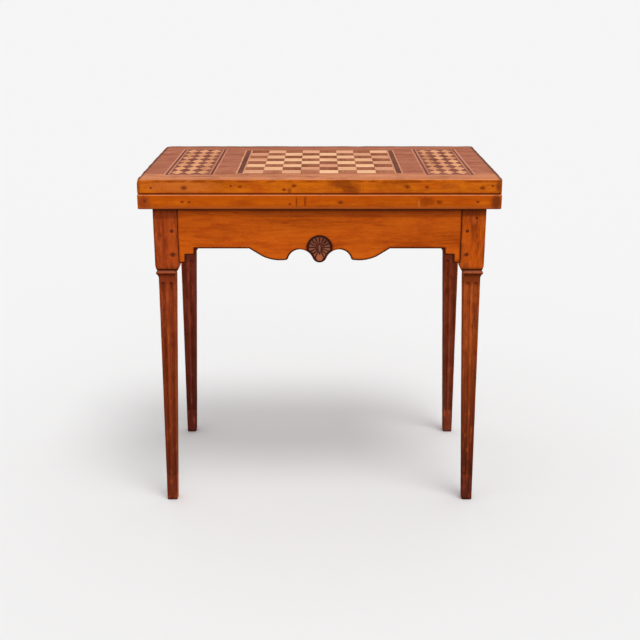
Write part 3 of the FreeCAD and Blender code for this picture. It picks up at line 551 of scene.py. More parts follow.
def peg_halos(node, half, colour, share, side=0):
    """Dirt round the ends of the pegs in a front, of all or of those on the left (-1) or right (1)."""
    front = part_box(node)[0][Y]
    halos = []
    for middle in solid_middles(node):
        if middle.x * side >= 0:
            vary = 1 + 0.5 * chance(middle)
            reach = (1.5 * half * vary, half, half * vary)
            halos.append(spot((middle.x, front, middle.z), reach, colour, share))
    return halos


@overlay
def tile_tones(finish, figure, colour):
    """Another colour on each tile, by the tone stored on it."""
    return finish.attribute("tone"), figured(finish, figure, colour)


@overlay
def hatching(finish, figure, pitch, colour):
    """Slanting strips of another wood."""
    place = finish.place()
    slant = finish.weighted((place[X], 1 / pitch), (place[Y], 1 / pitch))
    strips = finish.span(finish.maths("FRACT", slant), 0.62, 0.72)
    return finish.times(strips, 0.55), figured(finish, figure, colour)


def tiles(name, along, colour, other, shift):
    """Inlaid wood whose pieces differ: the tone stored on each one leads from one colour to the other."""
    return wood(name, along, colour, shift, [tile_tones(other)], dirt_and_shade_share=0.0)


# Other finishes

PEG_RING = 1.4 * MM
PEG_RELIEF = 0.4 * MM
CUT_REACH = 5 * MM
PROUD_DEPTHS = (4.6 * MM, 2.0 * MM)
BUD_LEVELS = (19 * MM, 15 * MM)
RING_FADE = 10 * MM
RING_SHARES = (0.82, 0.92)
CARVED_RELIEF = 0.3 * MM
TARNISH_REACH = 4 * MM
SCRATCH_RELIEF = 0.15 * MM
THREAD_PITCH = 1.3 * MM
NAP_RELIEF = 0.5 * MM


def end_grain(name, colour, ring_share):
    """Peg end: pale middle, dark ring round it and small cracks."""
    finish = Finish(name, Specular_IOR_Level=0.0, Coat_Weight=0.15, Coat_Roughness=0.4)
    fine = finish.noise(900.0, 3.0, 0.6)
    coarse = finish.noise(240.0)
    tone = figured(finish, finish.weighted((fine, 0.6), (coarse, 0.4)), colour)
    tone = finish.mix(finish.times(finish.edges(PEG_RING), ring_share), tone, DIRT_AND_SHADE)
    finish.set(Base_Color=tone, Roughness=finish.span(fine, 0.3, 0.7, 0.45, 0.7))
    finish.set(Normal=finish.bump(finish.weighted((fine, 0.6), (coarse, 0.6)), PEG_RELIEF, 0.6))
    return finish.made


def carved(name, colour, ridge, bud):
    """Carved wood: dirt and painted shade in the cuts, a painted shadow round the top of the ring, ridges
    rubbed pale with a painted highlight, a rubbed bud, and tool marks.
    """
    low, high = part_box("carved_rosette")
    middle = high[Z] - high[X]
    finish = Finish(name, Specular_IOR_Level=0.0, Coat_Weight=0.10, Coat_Roughness=0.32)
    marks = finish.noise(420.0, 3.0, 0.6, finish.mapped(finish.coords(), scale=(1.0, 1.0, 1.6)))
    broad = finish.noise(60.0, 3.0)
    place = finish.place()
    tone = figured(finish, finish.weighted((marks, 0.5), (broad, 0.5)), colour)
    # Proud ridges rubbed pale with a painted highlight, less towards the top, and the bud rubbed pale
    rubbed = finish.span(place[Y], *(low[Y] + depth for depth in PROUD_DEPTHS))
    worn = finish.times(
        finish.span(broad, 0.36, 0.62, 0.35, 0.9),
        finish.span(place[Z], high[Z], low[Z], 0.35, 1.2),
    )
    tone = finish.mix(finish.times(rubbed, worn), tone, ridge)
    on_bud = finish.span(place[Z], *(low[Z] + level for level in BUD_LEVELS))
    tone = finish.mix(finish.times(on_bud, rubbed, 0.8), tone, bud)
    # Painted shadow of the bed's wall round the top half of the ring
    away = finish.length(finish.mapped(finish.coords(), (1, 0, 1), (0, 0, -middle)))
    ring = finish.times(
        finish.span(away, *(high[X] * share for share in RING_SHARES)),
        finish.span(place[Z], middle - RING_FADE, middle),
    )
    tone = finish.mix(finish.times(ring, 0.85), tone, PAINTED_SHADE)
    # Dirt and painted shade in the cuts
    tone = finish.mix(finish.times(finish.hollows(CUT_REACH), 0.92), tone, DIRT_AND_SHADE)
    finish.set(Base_Color=tone, Roughness=finish.span(marks, 0.3, 0.7, 0.38, 0.6))
    finish.set(Normal=finish.bump(finish.weighted((marks, 0.8), (broad, 0.4)), CARVED_RELIEF, 0.6))
    return finish.made


def metal(name, colour, tarnish, roughness, rust=None):
    """Old metal: tarnish in clouds, dark in the corners, fine scratches."""
    finish = Finish(name, Metallic=1.0)
    clouds = finish.noise(120.0, 4.0, 0.6)
    scratch = finish.noise(160.0, 3.0, vector=finish.mapped(finish.coords(), scale=(1.0, 14.0, 14.0)))
    tone = finish.mix(finish.span(clouds, 0.40, 0.66), colour, tarnish)
    if rust:
        tone = finish.mix(finish.span(finish.noise(260.0, 3.0), 0.55, 0.7, 0.0, 0.6), tone, rust)
    corner = finish.times(finish.hollows(TARNISH_REACH), 0.7)
    tone = finish.mix(corner, tone, shaded(tarnish, 0.35, 0.32, 0.30))
    finish.set(Base_Color=tone)
    finish.set(Roughness=finish.span(clouds, 0.35, 0.65, roughness - 0.08, roughness + 0.16))
    finish.set(Normal=finish.bump(finish.weighted((scratch, 0.6), (clouds, 0.5)), SCRATCH_RELIEF, 0.5))
    return finish.made


def baize_cloth(name, colour):
    """Woollen baize: felted nap, faint weave, rubbed and faded patches."""
    finish = Finish(name, Specular_IOR_Level=0.1, Roughness=0.95, Sheen_Weight=0.35, Sheen_Roughness=0.6)
    nap = finish.noise(1500.0, 3.0, 0.7)
    clouds = finish.noise(9.0, 4.0, 0.6)
    place = finish.place()
    thread = 2 * math.pi / THREAD_PITCH
    weave = finish.times(*(finish.maths("SINE", finish.times(place[axis], thread)) for axis in (X, Y)))
    dark = shaded(colour, 0.6, 0.66, 0.6)
    light = shaded(colour, 1.5, 1.3, 1.4)
    tone = finish.ramp(nap, (0.3, dark), (0.5, colour), (0.7, light))
    tone = finish.mix(finish.span(clouds, 0.50, 0.75, 0.0, 0.5), tone, shaded(colour, 2.4, 1.6, 1.5))
    finish.set(Base_Color=tone)
    finish.set(Normal=finish.bump(finish.weighted((nap, 1.0), (weave, 0.18)), NAP_RELIEF, 0.7))
    return finish.made


# Woods of the leaves, with the marks on their front edges in millimetres

STAIN_BROWN = srgb(128, 50, 8)
RED_MARK = srgb(122, 42, 6)
DARK_MARK = srgb(72, 24, 6)
MEETING_FACE = srgb(170, 84, 40)
upper_marks = front_marks(
    LEAF_FRONT, LEAF_TOP,
    (-290, 15, (92, 8, 16), (208, 112, 46), 0.6),
    (50, 11, (34, 6, 12), (112, 46, 10), 0.62),
    (66, 22, (24, 6, 11), (124, 46, 8), 0.72),
    (-62, 24, (6, 6, 6), (126, 48, 6), 0.7),
    (270, 14, (24, 6, 9), (158, 72, 22), 0.5),
    (373, 15, (9, 8, 18), (110, 44, 18), 0.75),
    (-377, 15, (6, 8, 18), (120, 54, 26), 0.6),
)
upper_marks += front_marks(LEAF_FRONT + 34 * MM, LEAF_TOP, (-250, 0, (26, 5, 3), (120, 62, 44), 0.6))
upper_marks += front_marks(LEAF_FRONT + 38 * MM, LEAF_TOP, (262, 0, (34, 5, 3), (130, 70, 52), 0.5))
lower_marks = front_marks(
    LEAF_FRONT, LEAF_MEETING,
    (-48, 15, (2.2, 6, 13), (122, 42, 6), 0.8),
    (-30, 14, (3.4, 6, 13), (122, 42, 6), 0.75),
    (222, 14, (22, 6, 12), (138, 52, 6), 0.7),
    (207, 19, (1.6, 6, 11), (214, 120, 62), 0.7),
    (-366, 16, (17, 8, 18), (132, 54, 26), 0.75),
    (368, 16, (14, 8, 20), (96, 42, 20), 0.8),
    (-165, 18, (30, 6, 8), (158, 64, 6), 0.6),
)
upper_wood = wood(
    "leaf_wood", X, srgb(203, 101, 13), 0.3, stain=STAIN_BROWN,
    overlays=[
        mottled(X, 16 * MM, 0.50, 0.66, srgb(184, 78, 12), 0.7),
        mottled(X, 20 * MM, 0.54, 0.7, srgb(222, 118, 26), 0.6, 3.1),
        turned(UPWARD, srgb(178, 108, 82)),
        front_strip(LEAF_FRONT + 68 * MM, 9 * MM, srgb(214, 138, 98)),
        worn_top(40 * MM, srgb(158, 92, 70), 0.55),
        worn_top(24 * MM, srgb(206, 132, 102), 0.5, 3.1),
        grimy_rim(10 * MM, srgb(96, 58, 48), 0.85),
        # Front arris rubbed pale, with a painted highlight
        rubbed_and_lit_arris(srgb(232, 144, 86), 0.85),
        turned(DOWNWARD, MEETING_FACE),
        *upper_marks,
        edge_line(LEAF_TOP - 4.5 * MM, 2.4 * MM, srgb(134, 52, 6), 0.7, broken=True),
        # Painted shade of the seam above the lower leaf
        edge_line(LEAF_MEETING + 2.4 * MM, 1.6 * MM, srgb(104, 12, 0), 0.8),
        *peg_halos("upper_leaf_pegs", 4.2 * MM, RED_MARK, 0.75),
    ],
)
lower_wood = wood(
    "lower_leaf_wood", X, srgb(196, 90, 7), 1.7, stain=STAIN_BROWN, dirt_and_shade_share=0.45,
    overlays=[
        mottled(X, 14 * MM, 0.50, 0.66, srgb(176, 70, 8), 0.7),
        mottled(X, 18 * MM, 0.54, 0.7, srgb(214, 108, 16), 0.6, 3.1),
        # Front arris rubbed pale, with a painted highlight
        rubbed_and_lit_arris(srgb(230, 132, 80), 0.9),
        turned(UPWARD, MEETING_FACE),
        below(FRAME_TOP + 9 * MM, 5 * MM, srgb(174, 76, 6)),
        # Painted shade on the faces that look down
        turned(DOWNWARD, srgb(126, 66, 30)),
        edge_line(LEAF_MEETING - 8 * MM, 6 * MM, srgb(184, 76, 2), 0.6),
        # Painted highlight on the top edge of the lower leaf
        edge_line(LEAF_MEETING - 0.8 * MM, 1.7 * MM, srgb(236, 136, 82), 0.85),
        edge_line(FRAME_TOP + 3 * MM, 3 * MM, srgb(166, 86, 42), 0.45),
        # Painted shade where the leaf sits on the frame
        edge_line(FRAME_TOP, 1.6 * MM, PAINTED_SHADE, 0.6),
        *lower_marks,
        *peg_halos("lower_leaf_pegs", 4.0 * MM, RED_MARK, 0.7),
    ],
)

# Woods of the aprons and rails

SHADOW_START = -150 * MM
apron_wood = wood(
    "apron_wood", X, srgb(202, 90, 15), 2.9, stain=srgb(164, 62, 10),
    overlays=[
        mottled(X, 15 * MM, 0.50, 0.66, srgb(176, 66, 12), 0.6),
        mottled(X, 24 * MM, 0.55, 0.7, srgb(208, 98, 18), 0.6, 3.1),
        # Painted shadow of the leaf's overhang along the top of the apron
        above(FRAME_TOP - 24 * MM, 2 * MM, srgb(96, 36, 10), 0.40, SHADOW_START),
        # Painted shade on the faces that look down
        turned(DOWNWARD, PAINTED_SHADE, 0.9),
        dark_edges(9 * MM, srgb(78, 26, 8), 0.85, FRAME_TOP - 68 * MM),
        # Painted shade and dirt on the rounded edges
        dark_arris(srgb(66, 20, 6), 0.95),
        leaf_shade(1.0),
        joint_lines(2.4 * MM, srgb(76, 20, 4), 0.35),
    ],
)
side_wood = wood(
    "side_apron_wood", Y, srgb(188, 82, 14), 4.1, stain=srgb(140, 54, 12),
    overlays=[
        mottled(Y, 15 * MM, 0.50, 0.66, srgb(168, 64, 12), 0.6),
        # Painted shade on the faces that look down
        turned(DOWNWARD, PAINTED_SHADE, 0.9),
        dark_edges(7 * MM, srgb(70, 22, 6), 0.8),
        leaf_shade(0.85),
    ],
)
back_wood = wood("back_rail_wood", X, srgb(160, 74, 24), 6.1, stain=srgb(112, 48, 18))
softwood = wood("softwood", X, srgb(186, 134, 82), 6.9, stain=srgb(146, 96, 52), roughness=0.62)

# Woods of the legs, with the marks on the front blocks in millimetres

TORUS_SHEEN = srgb(160, 92, 66)
FOOT_DARK = (250 * MM, 170 * MM)
LEG_LOOKS = {
    "front_left_leg": {
        "block": srgb(170, 70, 24), "shaft": srgb(174, 76, 34), "foot": srgb(110, 46, 26),
        "flute_share": 0.75,
        "marks": [
            # Painted light on the side face that looks towards the lamps
            turned(RIGHTWARD, srgb(206, 106, 62), 0.7),
            *front_marks(
                LEG_FRONT, FRAME_TOP,
                (-315.5, 67, (9, 10, 60), (192, 84, 24), 0.6),
                (-331.5, 52, (4, 10, 36), (136, 44, 8), 0.6),
                (-353, 67, (4, 10, 60), (104, 42, 16), 0.7),
            ),
        ],
    },
    "front_right_leg": {
        "block": srgb(194, 84, 13), "shaft": srgb(182, 84, 33), "foot": srgb(84, 36, 26),
        "flute_share": 0.35, "cap_depth": 22 * MM, "cap_share": 0.60, "neck_share": 0.95,
        "marks": front_marks(LEG_FRONT, FRAME_TOP, (333.6, 24.2, (3.4, 6, 3.4), (48, 10, 2), 0.85)),
    },
    "rear_right_leg": {
        "block": srgb(158, 68, 34), "shaft": srgb(156, 70, 38), "foot": srgb(128, 62, 42),
        "flute_share": 0.60,
    },
    "gate_leg": {
        "block": srgb(152, 66, 38), "shaft": srgb(148, 64, 40), "foot": srgb(92, 41, 33),
        "flute_share": 0.60,
    },
}


def leg_wood(node, shift, block, shaft, foot, flute_share, cap_depth=27 * MM, cap_share=0.42,
             neck_share=0.65, marks=()):
    """Wood of one leg: tones of its block, shaft and foot, dirt and painted shade in the flutes, a painted
    shadow on the cap, painted shade on the neck, and painted shade and sheen on the mouldings.
    """
    block_bottom = BLOCK_BOTTOM[node]
    torus_bottom = block_bottom - GROOVE_HEIGHT - TORUS_HEIGHT
    halos = []
    if node.startswith("front"):
        side = -1 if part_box(node)[0][X] < 0 else 1
        halos = peg_halos("front_apron_pegs", 4.6 * MM, DARK_MARK, 0.6, side)
    return wood(
        node + "_wood", Z, block, 5.3 + shift, stain=shaded(block, 0.6, 0.55, 0.5), dirt_and_shade_reach=9 * MM,
        dirt_and_shade_share=0.45,
        overlays=[
            below(torus_bottom, 30 * MM, shaft),
            below(*FOOT_DARK, foot),
            mottled(Z, 12 * MM, 0.48, 0.62, shaded(shaft, 0.5, 0.40, 0.42), 0.7, shift),
            mottled(Z, 6 * MM, 0.54, 0.68, shaded(shaft, 0.42, 0.34, 0.36), 0.6, shift + 1.7),
            mottled(Z, 12 * MM, 0.56, 0.70, shaded(shaft, 1.5, 1.6, 1.7), 0.6, shift + 3.1),
            *marks,
            # Dirt and painted shade in the flutes
            in_flutes(shaded(shaft, 0.30, 0.24, 0.26), flute_share),
            dark_edges(6 * MM, DARK_MARK, 0.75, torus_bottom),
            # Painted shadow of the leaves on the top of the block
            above(FRAME_TOP - cap_depth, 3 * MM, srgb(76, 28, 10), cap_share),
            # Painted shade under the torus
            level_line(torus_bottom - 9 * MM, 12 * MM, shaded(shaft, 0.42, 0.37, 0.45), neck_share),
            # Painted shade in the groove under the block
            level_line(block_bottom + 1.2 * MM, 2.4 * MM, PAINTED_SHADE, 0.9),
            # Painted sheen on the torus
            level_line(torus_bottom + 0.82 * TORUS_HEIGHT, 1.8 * MM, TORUS_SHEEN, 0.85),
            # Painted shade on the lower half of the torus
            level_line(torus_bottom + 1.8 * MM, 3.0 * MM, PAINTED_SHADE, 0.5),
            below(3 * MM, 3 * MM, srgb(60, 24, 14)),
            leaf_shade(0.95),
            # Painted shade on the faces that look down
            turned(DOWNWARD, PAINTED_SHADE, 0.7),
            *halos,
        ],
    )


# Finishes of the slots, and of the nodes that have their own

edge_peg_wood = end_grain("edge_peg_wood", srgb(132, 50, 8), 0.35)
light_lozenge = tiles("light_lozenge_wood", Y, srgb(236, 168, 120), srgb(214, 144, 104), 7.1)
dark_lozenge = tiles("dark_lozenge_wood", Y, srgb(128, 72, 58), srgb(154, 92, 74), 8.9)
FINISHES = {
    "secondary_wood": softwood,
    "peg_wood": end_grain("peg_wood", srgb(104, 40, 12), 0.8),
    "dark_band": wood("dark_band_wood", Y, srgb(116, 70, 58), 9.1, [hatching(7 * MM, srgb(156, 98, 80))],
                      dirt_and_shade_share=0.0),
    "carved_wood": carved("rosette_wood", srgb(98, 46, 33), srgb(186, 118, 94), srgb(182, 100, 62)),
    "green_baize": baize_cloth("green_baize", srgb(30, 84, 46)),
    "brass": metal("brass", srgb(186, 138, 66), srgb(112, 78, 36), 0.36),
    "steel": metal("steel", srgb(150, 148, 144), srgb(98, 94, 90), 0.38),
    "iron": metal("iron", srgb(74, 70, 66), srgb(46, 42, 40), 0.55, rust=srgb(96, 52, 28)),
}
NODE_FINISHES = {
    "upper_leaf": upper_wood,
    "lower_leaf": lower_wood,
    "upper_leaf_pegs": edge_peg_wood,
    "lower_leaf_pegs": edge_peg_wood,
    "front_apron": apron_wood,
    "left_apron": side_wood,
    "right_apron": side_wood,
    "fixed_knuckle_rail": back_wood,
    "fly_rail": back_wood,
    "chess_light_squares": tiles("light_square_wood", X, srgb(255, 198, 152), srgb(222, 154, 120), 7.7),
    "chess_dark_squares": tiles("dark_square_wood", Y, srgb(146, 82, 54), srgb(186, 116, 84), 8.3),
    "chess_light_stringing": tiles("chess_string_wood", Y, srgb(230, 160, 120), srgb(214, 144, 106), 3.3),
    "panel_light_stringing": tiles("panel_string_wood", Y, srgb(212, 144, 116), srgb(196, 128, 100), 3.9),
    "panel_dark_stringing": tiles("panel_dark_string_wood", Y, srgb(116, 64, 54), srgb(138, 82, 68), 4.7),
    **{side + "_panel_light_lozenges": light_lozenge for side in ("left", "right")},
    **{side + "_panel_dark_lozenges": dark_lozenge for side in ("left", "right")},
    **{node: leg_wood(node, index, **look) for index, (node, look) in enumerate(LEG_LOOKS.items())},
}


def finish_of(node):
    """Material of a node: its own, or that of its slot."""
    return NODE_FINISHES.get(node) or FINISHES[SLOT_OF[node]]


for name, node in nodes.items():
    node.data.materials.clear()
    node.data.materials.append(finish_of(name))


# Worn copies of the wooden pieces

FLAT_ANGLE = math.radians(0.4)
SHARP_ANGLE = math.radians(32)
HOLE_EDGE = 0.8 * MM
FRONT_ROUNDING = 3.4 * MM
SIDE_ROUNDING = 2.0 * MM
RAIL_ROUNDING = 0.8 * MM


def piece(name, shape, node):
    """Object made of a mesh that stands for a CAD node, in its finish and on its body."""
    mesh = bpy.data.meshes.new(name)
    shape.to_mesh(mesh)
    shape.free()
    mesh.materials.append(finish_of(node))
    mesh.polygons.foreach_set("use_smooth", [True] * len(mesh.polygons))
    mesh.set_sharp_from_angle(angle=SHARP_ANGLE)
    made = bpy.data.objects.new(name, mesh)
    bpy.context.scene.collection.objects.link(made)
    even = made.modifiers.new("even_shading", "WEIGHTED_NORMAL")
    even.keep_sharp = True
    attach(made, BODY_OF[node])
    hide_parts(node)
    return made


def merge_flat(shape):
    """Join the triangles of each flat face."""
    bmesh.ops.dissolve_limit(shape, angle_limit=FLAT_ANGLE, verts=shape.verts, edges=shape.edges)


def outer_edges(shape):
    """Sharp outer edges, apart from the rims of small holes."""
    edges = []
    for edge in shape.edges:
        if edge.is_manifold and edge.is_convex and edge.calc_face_angle() > SHARP_ANGLE:
            if edge.calc_length() > HOLE_EDGE:
                edges.append(edge)
    return edges


def eased(node, width, segments=3, weight=None):
    """Copy of a node with rounded edges; weight gives the share of the width at a place."""
    shape = joined_mesh(node)
    merge_flat(shape)
    shares = shape.edges.layers.float.new("bevel_weight_edge")
    for edge in outer_edges(shape):
        middle = (edge.verts[0].co + edge.verts[1].co) / 2
        edge[shares] = weight(middle) if weight else 1.0
    made = piece(node + "_eased", shape, node)
    rounding = made.modifiers.new("rounding", "BEVEL")
    rounding.limit_method = "WEIGHT"
    rounding.width = width
    rounding.segments = segments
    rounding.use_clamp_overlap = weight is None
    made.modifiers.move(1, 0)


ROSETTE_CLEAR = (32 * MM, 46 * MM)
THIN_SHARE = 0.12


def clear_of_rosette(place):
    """Share of the rounding at a place of the front apron: thin on the narrow rim round the rosette."""
    low, high = corners("carved_rosette")
    away = place - (low + high) / 2
    return THIN_SHARE + (1 - THIN_SHARE) * smooth(*ROSETTE_CLEAR, math.hypot(away.x, away.z))


# Leaves: cut into short lengths, then rubbed down unevenly along their edges

LEAF_CELL = 14 * MM
LEAF_LEVEL_SHARES = (0.07, 0.15, 0.3, 0.5, 0.7, 0.85, 0.93)
SLICE_REACH = 0.001 * MM
FACE_REACH = 3 * MM
FACE_RUB = 0.25 * MM
FACE_SCALE = 22
FACE_SHARES = (0.55, 0.45)
RUB_REACH = 12 * MM
RUB_DEPTH = 0.55 * MM
RUB_SCALE = 34
RUB_START = 0.25
NICK_SCALE = 90
NICK_SHARE = 0.6
LEFT_RUB = 2.5
CORNER_REACH = 26 * MM
CORNER_DEPTH = 0.7 * MM
SHARP_SHARE = 0.2
MEETING_REACH = 2.5 * MM
MEETING_DEPTH = 0.3 * MM
MEETING_DROP_SHARE = 0.5
MEETING_VARY_SHARE = 0.4
UP = Vector((0, 0, 1))
INWARD = [Vector(way) for way in ((1, 0, 0), (-1, 0, 0), (0, 1, 0), (0, -1, 0))]


def slice_at(shape, place, normal):
    """Cut a mesh along a plane."""
    geometry = [*shape.verts, *shape.edges, *shape.faces]
    bmesh.ops.bisect_plane(shape, geom=geometry, plane_co=place, plane_no=normal, dist=SLICE_REACH)


def cut_grid(shape, low, high, cell):
    """Cut a slab along evenly spaced planes across X and Y."""
    for axis in (X, Y):
        size = high[axis] - low[axis]
        count = round(size / cell)
        normal = Vector((0, 0, 0))
        normal[axis] = 1
        for index in range(1, count):
            place = low.copy()
            place[axis] += size * index / count
            slice_at(shape, place, normal)


def leaf_wear(place, low, high, rubbed_top):
    """Move of a point of a leaf: rubbed edge faces, soft edges where leaves meet, a worn top arris."""
    gaps = [place.x - low.x, high.x - place.x, place.y - low.y, high.y - place.y]
    inside = min(gaps)
    if inside > RUB_REACH:
        return Vector((0, 0, 0))
    inward = INWARD[gaps.index(inside)]
    below_top = high.z - place.z
    along = noise.noise(place * RUB_SCALE) + NICK_SHARE * noise.noise(place * NICK_SCALE)
    base, swing = FACE_SHARES
    move = inward * FACE_RUB * near(FACE_REACH, inside) * (base + swing * noise.noise(place * FACE_SCALE))
    meeting = place.z - low.z if rubbed_top else below_top
    drop = MEETING_DROP_SHARE if rubbed_top else -MEETING_DROP_SHARE
    at_meeting = near(MEETING_REACH, meeting) * near(MEETING_REACH, inside)
    move += (inward + UP * drop) * MEETING_DEPTH * at_meeting * (1 + MEETING_VARY_SHARE * along)
    if not rubbed_top:
        return move
    on_top = near(RUB_REACH, below_top) * near(RUB_REACH, inside)
    soft = 1 + LEFT_RUB * smooth(0.0, low.x, place.x) * (1 - smooth(low.y, 0.0, place.y))
    move += (inward - UP) * RUB_DEPTH * soft * on_top * max(along + RUB_START, 0.0)
    corner = math.hypot(min(gaps[:2]), min(gaps[2:]))
    at_corner = near(CORNER_REACH, corner) * near(RUB_REACH, below_top)
    blunt = SHARP_SHARE if place.x > 0 and place.y > 0 else 1.0
    middle = Vector(((low.x + high.x) / 2, (low.y + high.y) / 2, place.z))
    return move + ((middle - place).normalized() - UP) * CORNER_DEPTH * blunt * at_corner


def worn_leaf(node, rubbed_top):
    """Leaf with unevenly worn edges; the top arris and its corners wear only where it is rubbed."""
    low, high = corners(node)
    shape = joined_mesh(node)
    merge_flat(shape)
    cut_grid(shape, low, high, LEAF_CELL)
    for share in LEAF_LEVEL_SHARES:
        slice_at(shape, low.lerp(high, share), UP)
    shape.normal_update()
    for vertex in shape.verts:
        vertex.co = vertex.co + leaf_wear(vertex.co.copy(), low, high, rubbed_top)
    return piece(node + "_worn", shape, node)


# Legs: lofted through rounded square sections with two flutes on each face; a form is an inset and a width

BLOCK_FORM = (0.0, 51 * MM)
BLOCK_EASE = (2.5 * MM, 12 * MM)
TORUS_FORM = (0.5 * MM, 44 * MM)
TORUS_LIP = 2.8 * MM
SHAFT_FORM = (5.5 * MM, 36.3 * MM)
FOOT_FORM = (2.0 * MM, 23.2 * MM)
FOOT_EASE = 2.2 * MM
FOOT_WEAR = 1.2 * MM
FOOT_WEAR_REACH = 40 * MM
FLUTE_TOP_GAP = 14 * MM
FLUTE_BOTTOM = 66 * MM
FLUTE_TOP = (10.5 * MM, 3.4 * MM)
FLUTE_FOOT = (6.0 * MM, 2.0 * MM)
FLUTE_END_SHARE = 0.5
ARRIS_RADIUS = 1.1 * MM
ARRIS_WEAR = 0.9 * MM
ARRIS_SCALES = (40, 40, 28)
ARRIS_START = 0.2
LEG_STEP = 12 * MM
LEG_RUB = 0.3 * MM
LEG_RUB_SCALE = 26
BLOCK_STEPS = 9
EASE_STEPS = 4
TORUS_STEPS = 10
CAVETTO_STEPS = 6
FLUTE_STEPS = 8
FLUTE_END_STEPS = 6
CORNER_STEPS = 4
FOOT_STEPS = 5
FOOT_EASE_STEPS = 3


def between(start, end, count):
    """Evenly spaced numbers from start to end, without start."""
    return [start + (end - start) * (index + 1) / count for index in range(count)]


def blend(first, second, share):
    """Pair of sizes on the way from one pair to another."""
    return [start + share * (end - start) for start, end in zip(first, second)]


def drawn_in(form, inward):
    """Form made smaller on all sides."""
    inset, width = form
    return inset + inward, width - 2 * inward


def leg_sections(block_bottom, top):
    """Levels of a leg from the top down, each with its outer inset and its width."""
    torus_top = block_bottom - GROOVE_HEIGHT
    torus_bottom = torus_top - TORUS_HEIGHT
    shaft_top = torus_bottom - CAVETTO_HEIGHT
    lip_form = drawn_in(TORUS_FORM, TORUS_LIP)
    ease_in, ease_height = BLOCK_EASE
    sections = [(top, *BLOCK_FORM)]
    sections += [(z, *BLOCK_FORM) for z in between(top, block_bottom + ease_height, BLOCK_STEPS)]
    for share in between(0, 1, EASE_STEPS):
        z = block_bottom + ease_height * (1 - share)
        sections.append((z, *drawn_in(BLOCK_FORM, ease_in * (1 - math.cos(share * math.pi / 2)))))
    sections += [(z, *lip_form) for z in (block_bottom, torus_top)]
    for share in between(0, 1, TORUS_STEPS):
        form = drawn_in(lip_form, -TORUS_LIP * math.sin(share * math.pi))
        sections.append((torus_top - TORUS_HEIGHT * share, *form))
    for share in between(0, 1, CAVETTO_STEPS):
        form = blend(lip_form, SHAFT_FORM, math.sin(share * math.pi / 2))
        sections.append((torus_bottom - CAVETTO_HEIGHT * share, *form))
    flute_top = shaft_top - FLUTE_TOP_GAP + FLUTE_TOP[0] / 2
    flute_foot = FLUTE_BOTTOM - FLUTE_FOOT[0] / 2
    levels = [flute_top]
    levels += between(flute_top, flute_top - FLUTE_TOP[0] / 2, FLUTE_END_STEPS)
    levels += between(levels[-1], FLUTE_BOTTOM, round((levels[-1] - FLUTE_BOTTOM) / LEG_STEP))
    levels += between(FLUTE_BOTTOM, flute_foot, FLUTE_END_STEPS)
    levels += between(flute_foot, FOOT_EASE, FOOT_STEPS)
    sections += [(z, *blend(FOOT_FORM, SHAFT_FORM, z / shaft_top)) for z in levels]
    for share in between(0, 1, FOOT_EASE_STEPS):
        z = FOOT_EASE * (1 - math.sin(share * math.pi / 2))
        sections.append((z, *drawn_in(FOOT_FORM, FOOT_EASE * (1 - math.cos(share * math.pi / 2)))))
    return sections


def flute_at(z, shaft_top):
    """Width and depth of the flutes at a level; their ends are round."""
    top = shaft_top - FLUTE_TOP_GAP
    share = min(max((z - FLUTE_BOTTOM) / (top - FLUTE_BOTTOM), 0.0), 1.0)
    width, depth = blend(FLUTE_FOOT, FLUTE_TOP, share)
    past = max(z - top, FLUTE_BOTTOM - z, 0.0) / (width / 2)
    swell = math.sqrt(max(1 - past * past, 0.0))
    return width * max(swell, FLUTE_END_SHARE), depth * swell


def leg_ring(half, rounding, flute_width, flute_depth):
    """Section about its middle: four faces with two flutes each and rounded corners, as x, y and hollow."""
    flat = half - rounding
    side = [(-flat, 0.0)]
    for centre in (-half / 2, half / 2):
        for step in range(FLUTE_STEPS + 1):
            across = 2 * step / FLUTE_STEPS - 1
            side.append((centre + across * flute_width / 2, flute_depth * (1 - across * across)))
    side.insert(FLUTE_STEPS + 2, (0.0, 0.0))
    side.append((flat, 0.0))
    face = [(along, depth - half, depth / FLUTE_TOP[1]) for along, depth in side]
    for step in range(1, CORNER_STEPS):
        turn = math.pi / 2 * step / CORNER_STEPS
        face.append((flat + rounding * math.sin(turn), -flat - rounding * math.cos(turn), 0.0))
    ring = list(face)
    for quarter in range(3):
        face = [(-y, x, hollow) for x, y, hollow in face]
        ring += face
    return ring


def loft(rings):
    """Closed mesh through rings of points from the top down; each point brings its hollow share."""
    shape = bmesh.new()
    layer = shape.verts.layers.float.new("hollow")
    loops = []
    for ring in rings:
        loop = []
        for point, hollow in ring:
            vertex = shape.verts.new(point)
            vertex[layer] = hollow
            loop.append(vertex)
        loops.append(loop)
    for upper, lower in zip(loops, loops[1:]):
        for index in range(len(upper)):
            after = (index + 1) % len(upper)
            shape.faces.new((upper[index], lower[index], lower[after], upper[after]))
    shape.faces.new(loops[0])
    shape.faces.new(reversed(loops[-1]))
    bmesh.ops.recalc_face_normals(shape, faces=shape.faces)
    return shape


